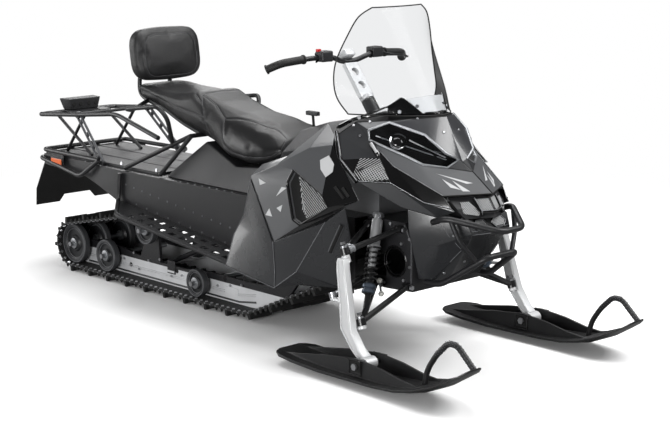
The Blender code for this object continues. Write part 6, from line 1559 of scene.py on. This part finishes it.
# Wheels. Dished discs of black nylon with a rubber tyre and a bright bearing hub, on steel shafts
# with a bolt at each end.
WHEEL_BOLT = (0.012, 0.008, 6, 1.0)
WHEEL_HALF = 0.016
AXLE_TUBE = 0.012
HUB_RADIUS = 0.026
WHEEL_SETS = (
    ("rear_idler_wheels", -1.338, 0.1373, 0.100, (0.205, 0.075), 0.235),
    ("second_wheels", -1.065, 0.1173, 0.080, (0.205,), 0.235),
    ("bogie_wheels", -0.350, 0.1023, 0.065, (0.205,), 0.235),
    ("carrier_wheels", -0.734, 0.295, 0.070, (0.205,), 0.245),
)
TYRE_PROFILE = ((-1.0, 0.82), (-1.0, 0.95), (-0.72, 1.0), (0.72, 1.0), (1.0, 0.95), (1.0, 0.82))
DISC_PROFILE = ((-0.7, 0.30), (-0.7, 0.36), (-0.15, 0.44), (-0.15, 0.70), (-0.55, 0.76), (-0.8, 0.83),
                (0.8, 0.83), (0.55, 0.76), (0.15, 0.70), (0.15, 0.44), (0.7, 0.36), (0.7, 0.30))
# Rings: painted highlights, thin grey rings round each tyre's shoulders and the disc's rim and step.
RING_BAR = 0.0013
DISC_HIGHLIGHT_RINGS = ((1.0, 0.95), (0.8, 0.83), (0.55, 0.74))
WHEEL_ANGLE = math.radians(30)
HUB_PROFILE = ((-1.25, 0.8), (-1.15, 1.0), (1.15, 1.0), (1.25, 0.8))
# Disc plastic: black nylon, satin, with a little dust.
nylon = surface("moulded nylon wheel", "#1f2022", 0.42, grain=0.2, grain_mm=2.0, wear=0.08, cloud=0.15)
# Tyre rubber: a shade lighter than the belt; the grey ring on each shoulder is a painted highlight.
tyre_rubber = surface("wheel rubber", "#38393b", 0.55, grain=0.3, grain_mm=2.0, wear=0.08, cloud=0.2)
for node, forward, up, radius, spreads, half in WHEEL_SETS:
    shape = bmesh.new()
    centre = Vector((forward, 0, up))
    tube(shape, [centre + Vector((0, side * half, 0)) for side in (-1, 1)], AXLE_TUBE, slot=2)
    for across in [side * spread for spread in spreads for side in (1, -1)]:
        middle = centre + Vector((0, across, 0))
        for slot, profile in ((0, TYRE_PROFILE), (1, DISC_PROFILE)):
            line = [(out * WHEEL_HALF, radius * share) for out, share in profile + profile[:1]]
            turned(shape, middle, (0, 1, 0), line, slot, 40, caps=False)
        hub = [(out * WHEEL_HALF, HUB_RADIUS * share) for out, share in HUB_PROFILE]
        turned(shape, middle, (0, 1, 0), hub, 2)
        for away, share in DISC_HIGHLIGHT_RINGS:
            for face in (1, -1):
                ring = round_bar(radius * share, RING_BAR, 6, face * WHEEL_HALF * away)
                turned(shape, middle, (0, 1, 0), ring, 3, 40, caps=False)
    bolts = [(centre + Vector((0, side * (half + 0.003), 0)), (0, side, 0)) for side in (1, -1)]
    piece(node.replace("wheels", "discs"), shape, [tyre_rubber, nylon, satin, highlight_and_rod_grey], "chassis", [node],
          0, WHEEL_ANGLE)
    heads(node.replace("wheels", "bolts"), "chassis", bolts, *WHEEL_BOLT, zinc)


# Drive axle. A steel shaft with toothed drive wheels inside the front of the track, behind the pans,
# which the engine turns by a chain.
DRIVE_EDGE = 0.001
whole("drive_wheels", ["drive_axle"], nylon, DRIVE_EDGE)


# Track. One endless belt of rubber over fibreglass rods, moulded with cross lugs outside and guide
# teeth inside, and with bright steel clips between the windows.
BELT_EDGE = 0.0015
whole("track_belt", ["track"], rubber, BELT_EDGE)
BELT_ROD = (0.0042, 0.0008, 8, 0.8)
BELT_CLIP = (0.0095, 0.0035, 4, 0.75)
BELT_TOOTH = (0.011, 0.014, 4, 0.45)
BELT = 0.009
PITCHES = 60
TRACK_HALF = 0.25
TRACK_CIRCLES = (((-1.338, 0.1373), 0.1009), ((-0.020, 0.337), 0.300), ((0.640, 0.400), 0.0908),
                 ((-0.734, 0.295), 0.0707))


def belt_line(count, offset):
    """Evenly spaced points along the belt with the outward direction at each, in the plane of its side."""
    fine = []
    circles = [(Vector(centre), radius) for centre, radius in TRACK_CIRCLES]
    turns = []
    for (centre, radius), (after, after_radius) in zip(circles, circles[1:] + circles[:1]):
        step = after - centre
        lean = math.asin((radius - after_radius) / step.length)
        turns.append(math.atan2(step.y, step.x) - math.pi / 2 + lean)
    for index, (centre, radius) in enumerate(circles):
        start, end = turns[index - 1], turns[index]
        for step in range(41):
            turn = start + (end - start) % math.tau * step / 40
            fine.append(centre + Vector((math.cos(turn), math.sin(turn))) * radius)
    fine.append(fine[0])
    lengths = [0.0]
    for first, second in zip(fine, fine[1:]):
        lengths.append(lengths[-1] + (second - first).length)
    spots, cursor = [], 0
    for step in range(count):
        goal = lengths[-1] * (step + offset) / count
        while lengths[cursor + 1] < goal:
            cursor += 1
        run = (fine[cursor + 1] - fine[cursor]).normalized()
        spots.append((fine[cursor] + run * (goal - lengths[cursor]), Vector((run.y, -run.x))))
    return spots


def on_belt(spot, lift, across):
    """Point on the belt, lifted to its outside and set across."""
    point, out_of = spot
    place = point + out_of * lift
    return Vector((place.x, across, place.y))


rods, clips, teeth = [], [], []
for spot in belt_line(PITCHES * 2, 0.0):
    for side in (1, -1):
        rods.append((on_belt(spot, BELT / 2, side * TRACK_HALF), (0, side, 0)))
        inward = Vector((-spot[1].x, 0, -spot[1].y))
        clips.append((on_belt(spot, -0.0005, side * 0.238), inward))
        teeth.append((on_belt(spot, BELT, side * 0.242), -inward))
heads("track_rod_ends", "chassis", rods, *BELT_ROD, highlight_and_rod_grey)
heads("track_clips", "chassis", clips, *BELT_CLIP, zinc)
heads("track_side_teeth", "chassis", teeth, *BELT_TOOTH, rubber)
